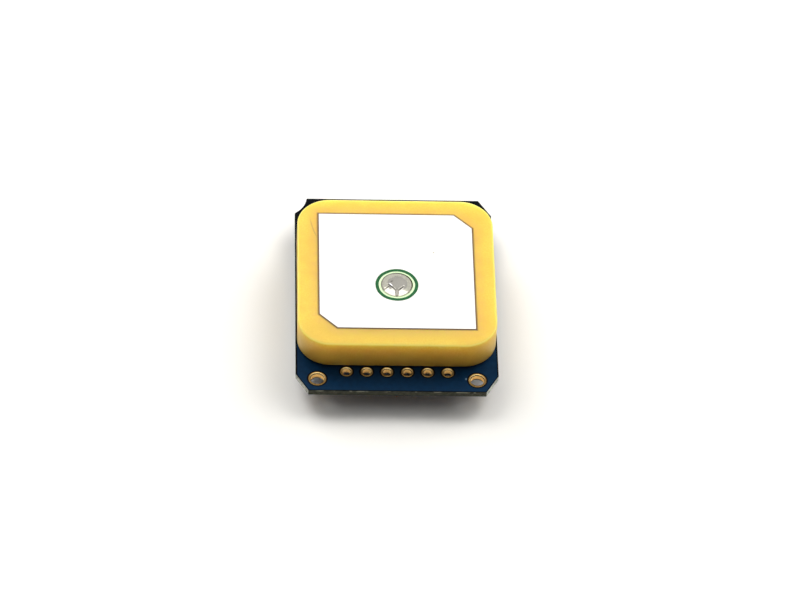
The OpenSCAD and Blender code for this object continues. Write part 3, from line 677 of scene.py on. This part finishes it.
# The same paste under the block, where nothing lights it: a plain grey white
GROUND_SILVER = Finish(
    "fired_silver_ground", "#E4E3DE", "#CFCEC8", 0.12, 0.003, roughness=0.5, metallic=1.0
)
# Epoxy solder stop, screen printed in a ring: dark green lacquer that thins out at its edge
GREEN_STOP = Finish(
    "printed_green_lacquer", "#2C7443", "#1E5A33", 0.3, 0.002, roughness=0.35, specular=0.12
)
# Tin solder that set in air: bright wrinkles between grey oxide skins
SOLDER = Finish(
    "set_tin_solder", "#A6A39D", "#8C8983", 0.5, 0.004, roughness=0.2, gloss_swing=0.08, metallic=1.0
)
# The same solder over the feed, with a dark brown line along its rim and painted shade in its creases. A
# strip down its front is painted darker as a painted reflection, one facet is painted white as a painted
# highlight, and a fleck is dark
FEED_SOLDER = LinedSolder(
    "lined_tin_solder", "#C2C0B2", "#B2AFA1", 0.4, 0.004, roughness=0.2, gloss_swing=0.05, metallic=1.0,
    smudges=(
        # Painted reflection: a darker strip down the front
        Smudge((-0.035, -4.06), (0.24, 0.52), "#716E67", soft=0.12),
        # Painted highlight: one facet painted white
        Smudge((-0.8, -2.8), (0.32, 0.08), WHITE, -50.0, 0.4),
        Smudge((-0.67, -2.27), (0.16, 0.08), "#5C5850", 20.0, 0.5),
        # Painted shade in the creases
        *(crease_shade(*ends) for ends in FEED_CREASES),
    ),
)
# Immersion gold over nickel: a pale warm plate
GOLD = Finish("immersion_gold_plate", "#EBCB8E", "#CFA460", 0.25, 0.002, roughness=0.4, metallic=1.0)
# The same plate on the drilled holes, rough from the glass ends: dull on the pads, and painted paler down
# the walls as a painted glow inside
DRILLED_GOLD = DrilledPlate(
    "drilled_gold_plate", "#F2DAA0", "#E5C47C", 0.12, 0.006, roughness=0.42, gloss_swing=0.06, metallic=1.0
)
# Blue solder stop over woven glass laminate: near black where no copper lies under it, a margin that also
# paints the shade beside and behind the block, else a deep blue. A scuff shows pale beside one mounting
# hole, and the sides are sawn white, partly as painted light
BLUE_BOARD = MaskedLaminate(
    "blue_board_laminate", "#0A3153", "#082A49", 0.8, 0.004, roughness=0.45, specular=0.03,
    # Past these sides the board is near black: bare laminate, and painted shade beside and behind the
    # block
    copper=(
        ((0.0, 1.0), 11.0), ((0.0, -1.0), 16.35), ((1.0, 0.0), 12.5), ((-1.0, 0.0), 12.45),
        ((0.86, -0.51), 17.81), ((-0.86, -0.51), 17.81),
    ),
    # Past these sides the cut edges are painted white: broken glass, and painted light
    sawn_and_lit=(((1.0, 0.0), 11.1), ((-1.0, 0.0), 11.1)),
    smudges=(Smudge((8.61, -14.34), (0.12, 0.16), "#6E8CA8", soft=0.5),),
)
# Acrylic foam tape: charcoal, with no shine
TAPE = Finish("acrylic_foam_tape", "#3A3733", "#2B2926", 0.15, 0.01, roughness=0.9)
# Brass wire with a tin plate, drawn round: a soft, warm grey shine
PIN = Finish("tinned_brass_pin", "#D9D4C6", "#BDB7A8", 0.2, 0.002, roughness=0.3, metallic=1.0)
# Green solder stop over thin laminate: a deep green with a low gloss
GREEN_BOARD = MaskedLaminate(
    "green_carrier_laminate", "#1B5438", "#13432C", 0.6, 0.003,
    roughness=0.4, specular=0.2, node="receiver_carrier",
)
# Tinned steel sheet, cold rolled and drawn: grey with fine lines along the roll
SHIELD = Finish(
    "rolled_tinned_steel", "#C9CACB", "#A9ABAD", 0.09, 0.002,
    roughness=0.34, gloss_swing=0.08, metallic=1.0, stretch=(14.0, 1.0, 1.0),
)
# Filled epoxy, transfer moulded: charcoal with a fine matt spark
MOULDING = Finish("moulded_black_epoxy", "#2C2C2E", "#1D1D1F", 0.05, 0.004, roughness=0.62)
# Iron and nickel alloy, plated and seam welded: a warm grey shine
LID = Finish("nickel_plated_lid", "#CFC9B8", "#B5AF9F", 0.1, 0.002, roughness=0.3, metallic=1.0)
# Barium titanate, cut and fired: fawn, with a chalky face
CAPACITOR = Finish("fired_capacitor_ceramic", "#B99A72", "#A08260", 0.08, 0.003, roughness=0.55)
# Stainless steel, drawn and tumbled: a clean grey with soft reflections
STEEL = Finish("drawn_stainless_steel", "#C6C7C8", "#A7A8AA", 0.12, 0.002, roughness=0.28, metallic=1.0)
# Polypropylene, moulded: near black and half matt
SEAL = Finish("moulded_polypropylene", "#2A2A2C", "#202022", 0.2, 0.004, roughness=0.5)
# Matt tin plate over copper alloy: pale grey, dulled by fine crystals
TIN = Finish("matt_tin_plate", "#C8C8C5", "#A9A9A6", 0.06, 0.003, roughness=0.4, metallic=1.0)
# White glass laminate under the light's die: an even, warm white
WHITE_BASE = Finish("white_glass_laminate", "#EDECE4", "#DCDBD2", 0.1, 0.003, roughness=0.5)
# Epoxy, cast clear: smooth and glossy, with a warm tint
LENS = Finish(
    "cast_clear_epoxy", "#F2E4DA", "#E8D6CA", 0.4, 0.0, roughness=0.12, transmission=0.85, ior=1.53
)
# Alumina, scribed and fired: chalk white
ALUMINA = Finish("fired_alumina", "#F0EEE8", "#DEDCD4", 0.06, 0.003, roughness=0.6)
# Lead-free glass, printed and fired: nearly black, with a clear gloss
GLAZE = Finish("printed_dark_glaze", "#1F2024", "#15161A", 0.1, 0.002, roughness=0.25)
# Low-temperature ceramic with a coil fired inside: a dull blue grey
COIL = Finish("fired_coil_ceramic", "#8C979E", "#75818A", 0.08, 0.003, roughness=0.5)


# Surfaces


def arc(middle: Spot, reach: Spot, start: float, end: float, steps: int = 8) -> Array:
    """Points along an oval: its middle, plus its half widths times the cosine and sine of an even turn.

    Args:
        middle: The oval's middle.
        reach: Its half widths.
        start: The first point's turn in degrees.
        end: The last point's turn.
        steps: Steps between them.

    Returns:
        The points in order.
    """
    turn = np.radians(np.linspace(start, end, steps + 1))
    return np.array(middle) + np.array(reach) * np.stack([np.cos(turn), np.sin(turn)], -1)


def lathed(profile: Array, centres: Array, steps: int) -> Array:
    """A profile turned about upright axes: radius and height swept round the full circle.

    Args:
        profile: Radius and height of each point.
        centres: Where each axis stands, as x and y.
        steps: Steps round the circle.

    Returns:
        Points by axis, profile point and step.
    """
    turn = np.linspace(0, 2 * math.pi, steps, endpoint=False)
    ring = np.stack([np.cos(turn), np.sin(turn)], -1)
    flat = centres[:, None, None, :] + profile[None, :, None, :1] * ring[None, None]
    height = np.broadcast_to(profile[None, :, None, 1:], (*flat.shape[:3], 1))
    return np.concatenate([flat, height], -1)


def ripple(angle: Array, waves: Iterable[Wave]) -> Array:
    """A sum of sine waves: for each, its rise times the sine of its lag plus its count times the angle.

    Args:
        angle: The angles.
        waves: For each wave, its rise, how often it comes in a turn, and its lag.

    Returns:
        The sum at each angle.
    """
    return sum(rise * np.sin(count * angle + lag) for rise, count, lag in waves)


def grid_faces(rows: int, columns: int, wrap: Wrap) -> Array:
    """Corner numbers of the quads of one grid.

    Args:
        rows: Rows of points.
        columns: Points in each row.
        wrap: Which ways the grid closes.

    Returns:
        Four corner numbers for each quad.
    """
    wrap_rows, wrap_columns = wrap.value
    i = np.arange(rows if wrap_rows else rows - 1)[:, None]
    j = np.arange(columns if wrap_columns else columns - 1)[None, :]
    i_next, j_next = (i + 1) % rows, (j + 1) % columns
    quad = [i * columns + j, i * columns + j_next, i_next * columns + j_next, i_next * columns + j]
    return np.stack(np.broadcast_arrays(*quad), -1).reshape(-1, 4)


def make_piece(
    name: str, points: Array, wrap: Wrap, finish: Finish, stands_for: Iterable[str] = ()
) -> None:
    """Put grids of points into one mesh, close it, dress it and set it on the part.

    Args:
        name: The piece's name.
        points: Points by grid, row and column.
        wrap: Which ways each grid closes.
        finish: The piece's finish.
        stands_for: The solids that the piece replaces.
    """
    count, rows, columns, _ = points.shape
    one = grid_faces(rows, columns, wrap)
    faces = (np.arange(count)[:, None, None] * rows * columns + one).reshape(-1, 4)
    mesh = bpy.data.meshes.new(name)
    mesh.from_pydata(points.reshape(-1, 3) * MM, [], faces)
    welded = bmesh.new()
    welded.from_mesh(mesh)
    bmesh.ops.remove_doubles(welded, verts=welded.verts, dist=WELD_GAP * MM)
    bmesh.ops.recalc_face_normals(welded, faces=welded.faces)
    welded.to_mesh(mesh)
    welded.free()
    mesh.shade_smooth()
    mesh.set_sharp_from_angle(angle=math.radians(SHARP_TURN))
    mesh.materials.append(finish.material())
    piece = bpy.data.objects.new(name, mesh)
    bpy.context.scene.collection.objects.link(piece)
    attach(piece, BODY)
    if stands_for:
        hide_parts(*stands_for)
    LOG.info("%s: %d faces", name, len(mesh.polygons))


def dress(finish: Finish, *nodes: str) -> None:
    """Give solids of the frame their finish.

    Args:
        finish: The finish.
        nodes: The solids' names.
    """
    for name in nodes:
        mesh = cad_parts[name].data
        mesh.materials.clear()
        mesh.materials.append(finish.material())
        LOG.info("%s: %s", name, finish.name)


# The part


@dataclass
class Antenna:
    """The ceramic block with its silver films and its soldered feed."""

    corner_r: float = 4.2
    top_rim_r: float = 0.25
    foot_rim_r: float = 0.25
    bend_steps: int = 16
    side_steps: int = 25
    hole_r: float = 0.6
    dome_rings: int = 96
    dome_steps: int = 240
    crown_r: float = 1.03
    crown_waves: tuple[Wave, ...] = ((0.157, 1, 2.75), (0.03, 2, -1.57), (0.03, 3, 2.0), (0.02, 7, 0.0))
    crown_sag: float = 0.02
    lip: float = 0.06
    skirt_power: float = 1.6
    stem_x: float = -0.035
    stem_half: float = 0.235
    stem_side: float = 0.02
    stem_rise: float = 0.04
    stem_power: float = 0.5
    wrinkles: tuple[tuple[float, float, float], ...] = (
        (-2.55, 0.12, 0.05), (1.1, 0.25, 0.04), (2.6, 0.2, 0.05)
    )
    wrinkle_power: float = 0.8
    crease_depth: float = 0.1
    ring_w: float = 0.42
    ring_edge: float = 0.026
    ring_steps: int = 128
    ring_waves: tuple[Wave, ...] = ((0.004, 5, 1.0), (0.003, 11, 0.0))

    def build(self) -> None:
        """Make the antenna's surfaces and dress its plain solids."""
        self.block()
        self.dome()
        self.ring()
        dress(PATCH_SILVER, "antenna_patch")
        dress(GROUND_SILVER, "antenna_ground_film")
        dress(TAPE, "antenna_tape")
        dress(PIN, "feed_pin")
        dress(SOLDER, "feed_solder_cone")

    def block(self) -> None:
        """The tumbled block.

        A loop of round corners and straight sides is carried through a section: out along the foot,
        round the foot's rim, up the side, round the top's rim, in to the feed hole and down through it.
        """
        node = "antenna_ceramic"
        low, high = box(node)
        half = high[0]
        middle = np.array([0.0, (low[1] + high[1]) / 2])
        bend = np.linspace(0, 1, self.bend_steps + 1)
        side = np.linspace(0, 1, self.side_steps + 1)[1:-1]
        quarter = np.arange(len(CORNERS))[:, None]
        signs = CORNERS * (half - self.corner_r)
        straight = np.broadcast_to(quarter + 1.0, (quarter.size, side.size))
        turn = np.concatenate([quarter + bend, straight], 1).reshape(-1)
        stay = np.broadcast_to(signs[:, None], (quarter.size, bend.size, 2))
        walk = signs[:, None] + side[None, :, None] * (np.roll(signs, -1, 0) - signs)[:, None]
        core = np.concatenate([stay, walk], 1).reshape(-1, 2)
        outward = np.stack([np.cos(turn * math.pi / 2), np.sin(turn * math.pi / 2)], -1)
        foot_r, top_r = self.foot_rim_r, self.top_rim_r
        foot = arc((-foot_r, low[2] + foot_r), (foot_r, foot_r), -90, 0)
        top = arc((-top_r, high[2] - top_r), (top_r, top_r), 0, 90)
        section = np.concatenate([foot, top])
        flat = middle + core + (self.corner_r + section[:, None, :1]) * outward
        height = np.broadcast_to(section[:, None, 1:], (*flat.shape[:2], 1))
        skin = np.concatenate([flat, height], -1)
        toward = flat[-1] - FEED
        ring = FEED + self.hole_r * toward / np.linalg.norm(toward, axis=1, keepdims=True)
        mouth = np.concatenate([ring, np.full((len(ring), 1), high[2])], 1)
        floor = np.concatenate([ring, np.full((len(ring), 1), low[2])], 1)
        points = np.concatenate([floor[None], skin, mouth[None]])[None]
        make_piece("antenna_block", points, Wrap.TORUS, ANTENNA_CERAMIC, [node])

    def dome(self) -> None:
        """The feed's solder: a level crown, a hollow skirt with a low ridge at its front, and creases.

        Height is a function of radius and angle. The crown's edge is a radius plus sine waves in the
        angle. The skirt falls as a power of the share of the way to the rim. The ridge rises and falls
        along that way as a sine, between two soft sides. Each wrinkle is a bell in the angle, and each
        crease a bell in the distance from a straight line.
        """
        low, high = box("feed_solder_dome")
        rim, tall = high[0], high[2] - low[2]
        angle = np.linspace(0, 2 * math.pi, self.dome_steps, endpoint=False)[None, :]
        radius = rim * np.linspace(0, 1, self.dome_rings)[:, None] * np.ones_like(angle)
        x, y = radius * np.cos(angle), radius * np.sin(angle)
        edge = self.crown_r + ripple(angle, self.crown_waves)
        along = np.clip((radius - edge) / (rim - edge), 0, 1)
        crown = tall - self.crown_sag * (radius / edge) ** 2
        skirt = self.lip + (tall - self.crown_sag - self.lip) * (1 - along) ** self.skirt_power
        height = np.where(radius < edge, crown, skirt)
        for at, width, rise in self.wrinkles:
            gap = np.angle(np.exp(1j * (angle - at)))
            bell = np.exp(-((gap / width) ** 2))
            height = height + rise * bell * np.sin(math.pi * along) ** self.wrinkle_power
        sides = 1 / (1 + np.exp((np.abs(x - self.stem_x) - self.stem_half) / self.stem_side))
        ridge = sides * np.sin(math.pi * along) ** self.stem_power
        height = height + self.stem_rise * ridge * (y < 0)
        for start, end in np.array(FEED_CREASES):
            run = end - start
            share = np.clip(((x - start[0]) * run[0] + (y - start[1]) * run[1]) / (run @ run), 0, 1)
            gap = np.hypot(x - start[0] - share * run[0], y - start[1] - share * run[1])
            height = height - self.crease_depth * np.exp(-((gap / CREASE_W) ** 2))
        height = low[2] + np.clip(height, self.lip, tall)
        top = np.stack([x + FEED[0], y + FEED[1], height], -1)
        head_r, _, head_z = box("feed_pin")[1]
        hollow = np.array([[rim, low[2]], [head_r, low[2]], [head_r, head_z], [0, head_z]])
        below = lathed(hollow, np.array([FEED]), angle.size)[0]
        points = np.concatenate([top, below])
        make_piece("feed_dome", points[None], Wrap.AROUND, FEED_SOLDER, ["feed_solder_dome"])

    def ring(self) -> None:
        """The printed ring: a low cushion section turned about the feed, with a slightly uneven edge."""
        low, high = box("feed_stop_ring")
        outer, soft = high[0], self.ring_edge
        inner = outer - self.ring_w
        foot = np.array([[inner, low[2]], [outer, low[2]]])
        outside = arc((outer - soft, high[2] - soft), (soft, soft), 0, 90)
        inside = arc((inner + soft, high[2] - soft), (soft, soft), 90, 180)
        points = lathed(np.concatenate([foot, outside, inside]), np.zeros((1, 2)), self.ring_steps)
        angle = np.arctan2(points[..., 1], points[..., 0])
        points[..., :2] *= 1 + ripple(angle, self.ring_waves)[..., None]
        points[..., :2] += FEED
        make_piece("feed_ring", points, Wrap.TORUS, GREEN_STOP, ["feed_stop_ring"])


@dataclass
class Board:
    """The main board with its plated holes."""

    header_count: int = 6
    header_pitch: float = 2.54
    header_hole_r: float = 0.475
    mount_hole_r: float = 0.8
    plating: float = 0.05
    mount_pad_r: float = 1.11
    pad_rim_r: float = 0.03
    pad_rim_steps: int = 4
    hole_steps: int = 72
    stop_gap: float = 0.2
    gap_tone: str = "#07090B"
    gap_soft: float = 0.03
    mouth_w: float = 0.25
    mouth_h: float = 0.42

    def build(self) -> None:
        """Make the plated holes and dress the board."""
        dress(GOLD, "feed_hole_lining", "solder_pads")
        header_low, header_high = box("header_hole_linings")
        row_y = (header_low[1] + header_high[1]) / 2
        spots = (np.arange(self.header_count) - (self.header_count - 1) / 2) * self.header_pitch
        header = np.stack([spots, np.full_like(spots, row_y)], -1)
        header_pad = (header_high[1] - header_low[1]) / 2
        self.eyelets("header_hole_linings", header, self.header_hole_r, header_pad)
        mounts = CORNERS * (box("mounting_hole_linings")[1][:2] - self.mount_pad_r)
        self.eyelets("mounting_hole_linings", mounts, self.mount_hole_r, self.mount_pad_r)
        rings = [*self.clearances(header, header_pad), *self.clearances(mounts, self.mount_pad_r)]
        dress(replace(BLUE_BOARD, smudges=(*BLUE_BOARD.smudges, *rings)), "main_board")

    def clearances(self, centres: Array, pad_r: float) -> list[Smudge]:
        """The gap that the solder stop leaves around each pad, where dark laminate shows."""
        reach = (pad_r + self.stop_gap, pad_r + self.stop_gap)
        return [Smudge(tuple(spot), reach, self.gap_tone, soft=self.gap_soft) for spot in centres.tolist()]

    def eyelets(self, node: str, centres: Array, hole_r: float, pad_r: float) -> None:
        """Plated holes: a C-shaped section with flared mouths, turned about each hole's axis.

        Args:
            node: The solid that they stand for.
            centres: Where the holes are.
            hole_r: Radius of the open hole.
            pad_r: Radius of the pad.
        """
        low, high = (end[2] for end in box("main_board"))
        wall, under, over = hole_r + self.plating, low - self.plating, high + self.plating
        rim, mouth, lip = self.pad_rim_r, (self.mouth_w, self.mouth_h), hole_r + self.mouth_w
        section = np.concatenate([
            arc((lip, over - self.mouth_h), mouth, 180, 90),
            arc((pad_r - rim, over - rim), (rim, rim), 90, 0, self.pad_rim_steps),
            np.array([[pad_r, high], [wall, high], [wall, low], [pad_r, low]]),
            arc((pad_r - rim, under + rim), (rim, rim), 0, -90, self.pad_rim_steps),
            arc((lip, under + self.mouth_h), mouth, -90, -180),
        ])
        points = lathed(section, centres, self.hole_steps)
        name = node.replace("linings", "eyelets")
        make_piece(name, points, Wrap.TORUS, DRILLED_GOLD, [node])


@dataclass
class Receiver:
    """The screened receiver under the board."""

    def build(self) -> None:
        """Dress the receiver's solids."""
        dress(GREEN_BOARD, "receiver_carrier")
        dress(GOLD, "receiver_contacts")
        dress(SOLDER, "receiver_solder")
        dress(SHIELD, "receiver_shield")
        dress(MOULDING, "receiver_chip")
        dress(LID, "receiver_oscillator", "receiver_filter", "receiver_crystal")
        dress(CAPACITOR, "receiver_capacitors")


@dataclass
class BackupCell:
    """The coin cell with its welded tabs."""

    weld_gap: float = 1.1
    weld_r: float = 0.28
    weld_tone: str = "#77777A"
    weld_soft: float = 0.3

    def build(self) -> None:
        """Dress the cell's solids, with a pair of welds on the tabs over the cell's middle."""
        low, high = box("cell_cup")
        x, y = ((low + high) / 2)[:2].tolist()
        spots = [(x - self.weld_gap / 2, y), (x + self.weld_gap / 2, y)]
        reach = (self.weld_r, self.weld_r)
        welds = tuple(Smudge(spot, reach, self.weld_tone, soft=self.weld_soft) for spot in spots)
        welded = replace(STEEL, name="welded_stainless_strip", smudges=welds)
        dress(STEEL, "cell_cup", "cell_cap")
        dress(welded, "cell_cap_tab", "cell_cup_tab")
        dress(SEAL, "cell_seal")


@dataclass
class SmallParts:
    """The moulded parts, the chips, the status light and their solder."""

    def build(self) -> None:
        """Dress the small parts' solids."""
        dress(MOULDING, "regulator_body", "memory_body", "diode_body")
        dress(TIN, "regulator_leads", "memory_leads", "diode_leads")
        dress(TIN, "capacitor_ends", "resistor_ends", "coil_ends")
        dress(CAPACITOR, "capacitor_bodies")
        dress(ALUMINA, "resistor_bodies")
        dress(GLAZE, "resistor_coats")
        dress(COIL, "coil_body")
        dress(WHITE_BASE, "light_base")
        dress(LENS, "light_lens")
        dress(GOLD, "light_terminals")
        dress(SOLDER, "solder_fillets")


# The studio


@dataclass
class Studio:
    """A white floor, soft light from above and behind, and the camera.

    Angles are in degrees. The aim is the point at the middle of the picture. A window's edge and core,
    and the dusk's edge, are cosines of the angle from the window's middle.
    """

    azimuth: float = -3.68
    elevation: float = 47.44
    roll: float = 3.46
    distance: float = 530.96
    aim: tuple[float, float, float] = (-0.396, -6.340, 9.625)
    lens: float = 193.57
    sensor: float = 36.0
    floor_reach: float = 1500.0
    paper_shade: str = "#E2E0DA"
    lamp_toward: tuple[float, float, float] = (0.0, -0.12, 1.0)
    lamp_strength: float = 2.4
    lamp_angle: float = 72.0
    light_tint: str = "#FFFDF8"
    windows: tuple[tuple[float, float, float], ...] = ((0.57, 0.53, 0.63), (-0.41, 0.64, 0.66))
    window_edge: float = 0.905
    window_core: float = 0.97
    window_strength: float = 5.55
    dusk_edge: float = 0.42
    dusk: float = 0.65
    gloom: float = 0.09

    def build(self) -> None:
        """Set up the floor, the light, the sky and the camera."""
        bpy.context.scene.view_settings.view_transform = "Standard"
        self.floor()
        self.lamp()
        self.sky()
        self.camera()

    def seen(self, tree: Tree) -> Socket:
        """A factor of one on rays that the eye follows: from the camera, a mirror or through glass.

        Args:
            tree: The tree that asks.

        Returns:
            The factor.
        """
        path = add_node(tree, "ShaderNodeLightPath")
        seen = path.outputs["Is Camera Ray"]
        for kind in ("Is Glossy Ray", "Is Transmission Ray"):
            sums = {0: seen, 1: path.outputs[kind]}
            either = {"operation": "ADD", "use_clamp": True}
            seen = add_node(tree, "ShaderNodeMath", either, sums).outputs[0]
        return seen

    def floor(self) -> None:
        """A plain sheet of paper, white to the eye and a little grey to the light that it throws back."""
        reach = self.floor_reach * MM
        mesh = bpy.data.meshes.new("floor")
        mesh.from_pydata([(x * reach, y * reach, 0) for x, y in CORNERS.tolist()], [], [(0, 1, 2, 3)])
        paper = bpy.data.materials.new("white_paper")
        paper.use_nodes = True
        tree = paper.node_tree
        tree.nodes.clear()
        sides = {MIX_FACTOR: self.seen(tree), MIX_A: linear(self.paper_shade), MIX_B: linear(WHITE)}
        white = add_node(tree, "ShaderNodeMix", {"data_type": "RGBA"}, sides).outputs[MIX_OUT]
        sheet = add_node(tree, "ShaderNodeBsdfDiffuse", inputs={"Color": white})
        add_node(tree, "ShaderNodeOutputMaterial", inputs={"Surface": sheet.outputs["BSDF"]})
        mesh.materials.append(paper)
        floor = bpy.data.objects.new("floor", mesh)
        bpy.context.scene.collection.objects.link(floor)

    def lamp(self) -> None:
        """One soft lamp overhead, which only shows as a highlight on what is shiny."""
        data = bpy.data.lights.new("soft_lamp", "SUN")
        data.energy = self.lamp_strength
        data.angle = math.radians(self.lamp_angle)
        lamp = bpy.data.objects.new("soft_lamp", data)
        lamp.rotation_mode = "QUATERNION"
        lamp.rotation_quaternion = Vector(self.lamp_toward).to_track_quat("Z", "Y")
        lamp.visible_diffuse = False
        bpy.context.scene.collection.objects.link(lamp)

    def sky(self) -> None:
        """White to the eye, and to the part a dim room with a soft window behind it at each side.

        How far a direction faces the nearer window sets the light: the room's gloom, a dusk that grows
        towards the window, and the pane.
        """
        world = bpy.data.worlds.new("studio_sky")
        bpy.context.scene.world = world
        world.use_nodes = True
        tree = world.node_tree
        tree.nodes.clear()
        toward = add_node(tree, "ShaderNodeTexCoord").outputs["Generated"]
        facing: Value = -1.0
        for window in self.windows:
            ends = {0: toward, 1: Vector(window).normalized()}
            near = add_node(tree, "ShaderNodeVectorMath", {"operation": "DOT_PRODUCT"}, ends)
            nearer = {0: near.outputs["Value"], 1: facing}
            facing = add_node(tree, "ShaderNodeMath", {"operation": "MAXIMUM"}, nearer).outputs[0]
        glow: Value = self.gloom
        dusk = (self.dusk_edge, self.window_edge, self.dusk)
        pane = (self.window_edge, self.window_core, self.window_strength)
        for start, end, level in (dusk, pane):
            ends = {"Value": facing, "From Min": start, "From Max": end, "To Min": glow, "To Max": level}
            glow = add_node(tree, "ShaderNodeMapRange", inputs=ends).outputs["Result"]
        seen = self.seen(tree)
        rays = {"Value": seen, "To Min": glow, "To Max": 1.0}
        strength = add_node(tree, "ShaderNodeMapRange", inputs=rays).outputs["Result"]
        tints = {MIX_FACTOR: seen, MIX_A: linear(self.light_tint), MIX_B: linear(WHITE)}
        tint = add_node(tree, "ShaderNodeMix", {"data_type": "RGBA"}, tints).outputs[MIX_OUT]
        light = add_node(tree, "ShaderNodeBackground", inputs={"Color": tint, "Strength": strength})
        add_node(tree, "ShaderNodeOutputWorld", inputs={"Surface": light.outputs[0]})

    def camera(self) -> None:
        """The camera, turned by its azimuth, elevation and roll about the aim."""
        turn, lift, tip = (math.radians(a) for a in (self.azimuth, self.elevation, self.roll))
        back = Vector((math.sin(turn) * math.cos(lift), -math.cos(turn) * math.cos(lift), math.sin(lift)))
        level = Vector((math.cos(turn), math.sin(turn), 0))
        upright = back.cross(level)
        right = math.cos(tip) * level + math.sin(tip) * upright
        up = math.cos(tip) * upright - math.sin(tip) * level
        place = (Vector(self.aim) + self.distance * back) * MM
        data = bpy.data.cameras.new("camera")
        data.sensor_width = self.sensor
        data.lens = self.lens
        camera = bpy.data.objects.new("camera", data)
        pose = Matrix((right, up, back)).transposed().to_4x4()
        pose.translation = place
        camera.matrix_world = pose
        bpy.context.scene.collection.objects.link(camera)
        bpy.context.scene.camera = camera


def main() -> None:
    """Build the part's looks and the studio."""
    logging.basicConfig(level=logging.INFO, format="%(name)s: %(message)s")
    for section in (Antenna(), Board(), Receiver(), BackupCell(), SmallParts(), Studio()):
        LOG.info("building %s", type(section).__name__)
        section.build()


if __name__ == "__main__":
    main()
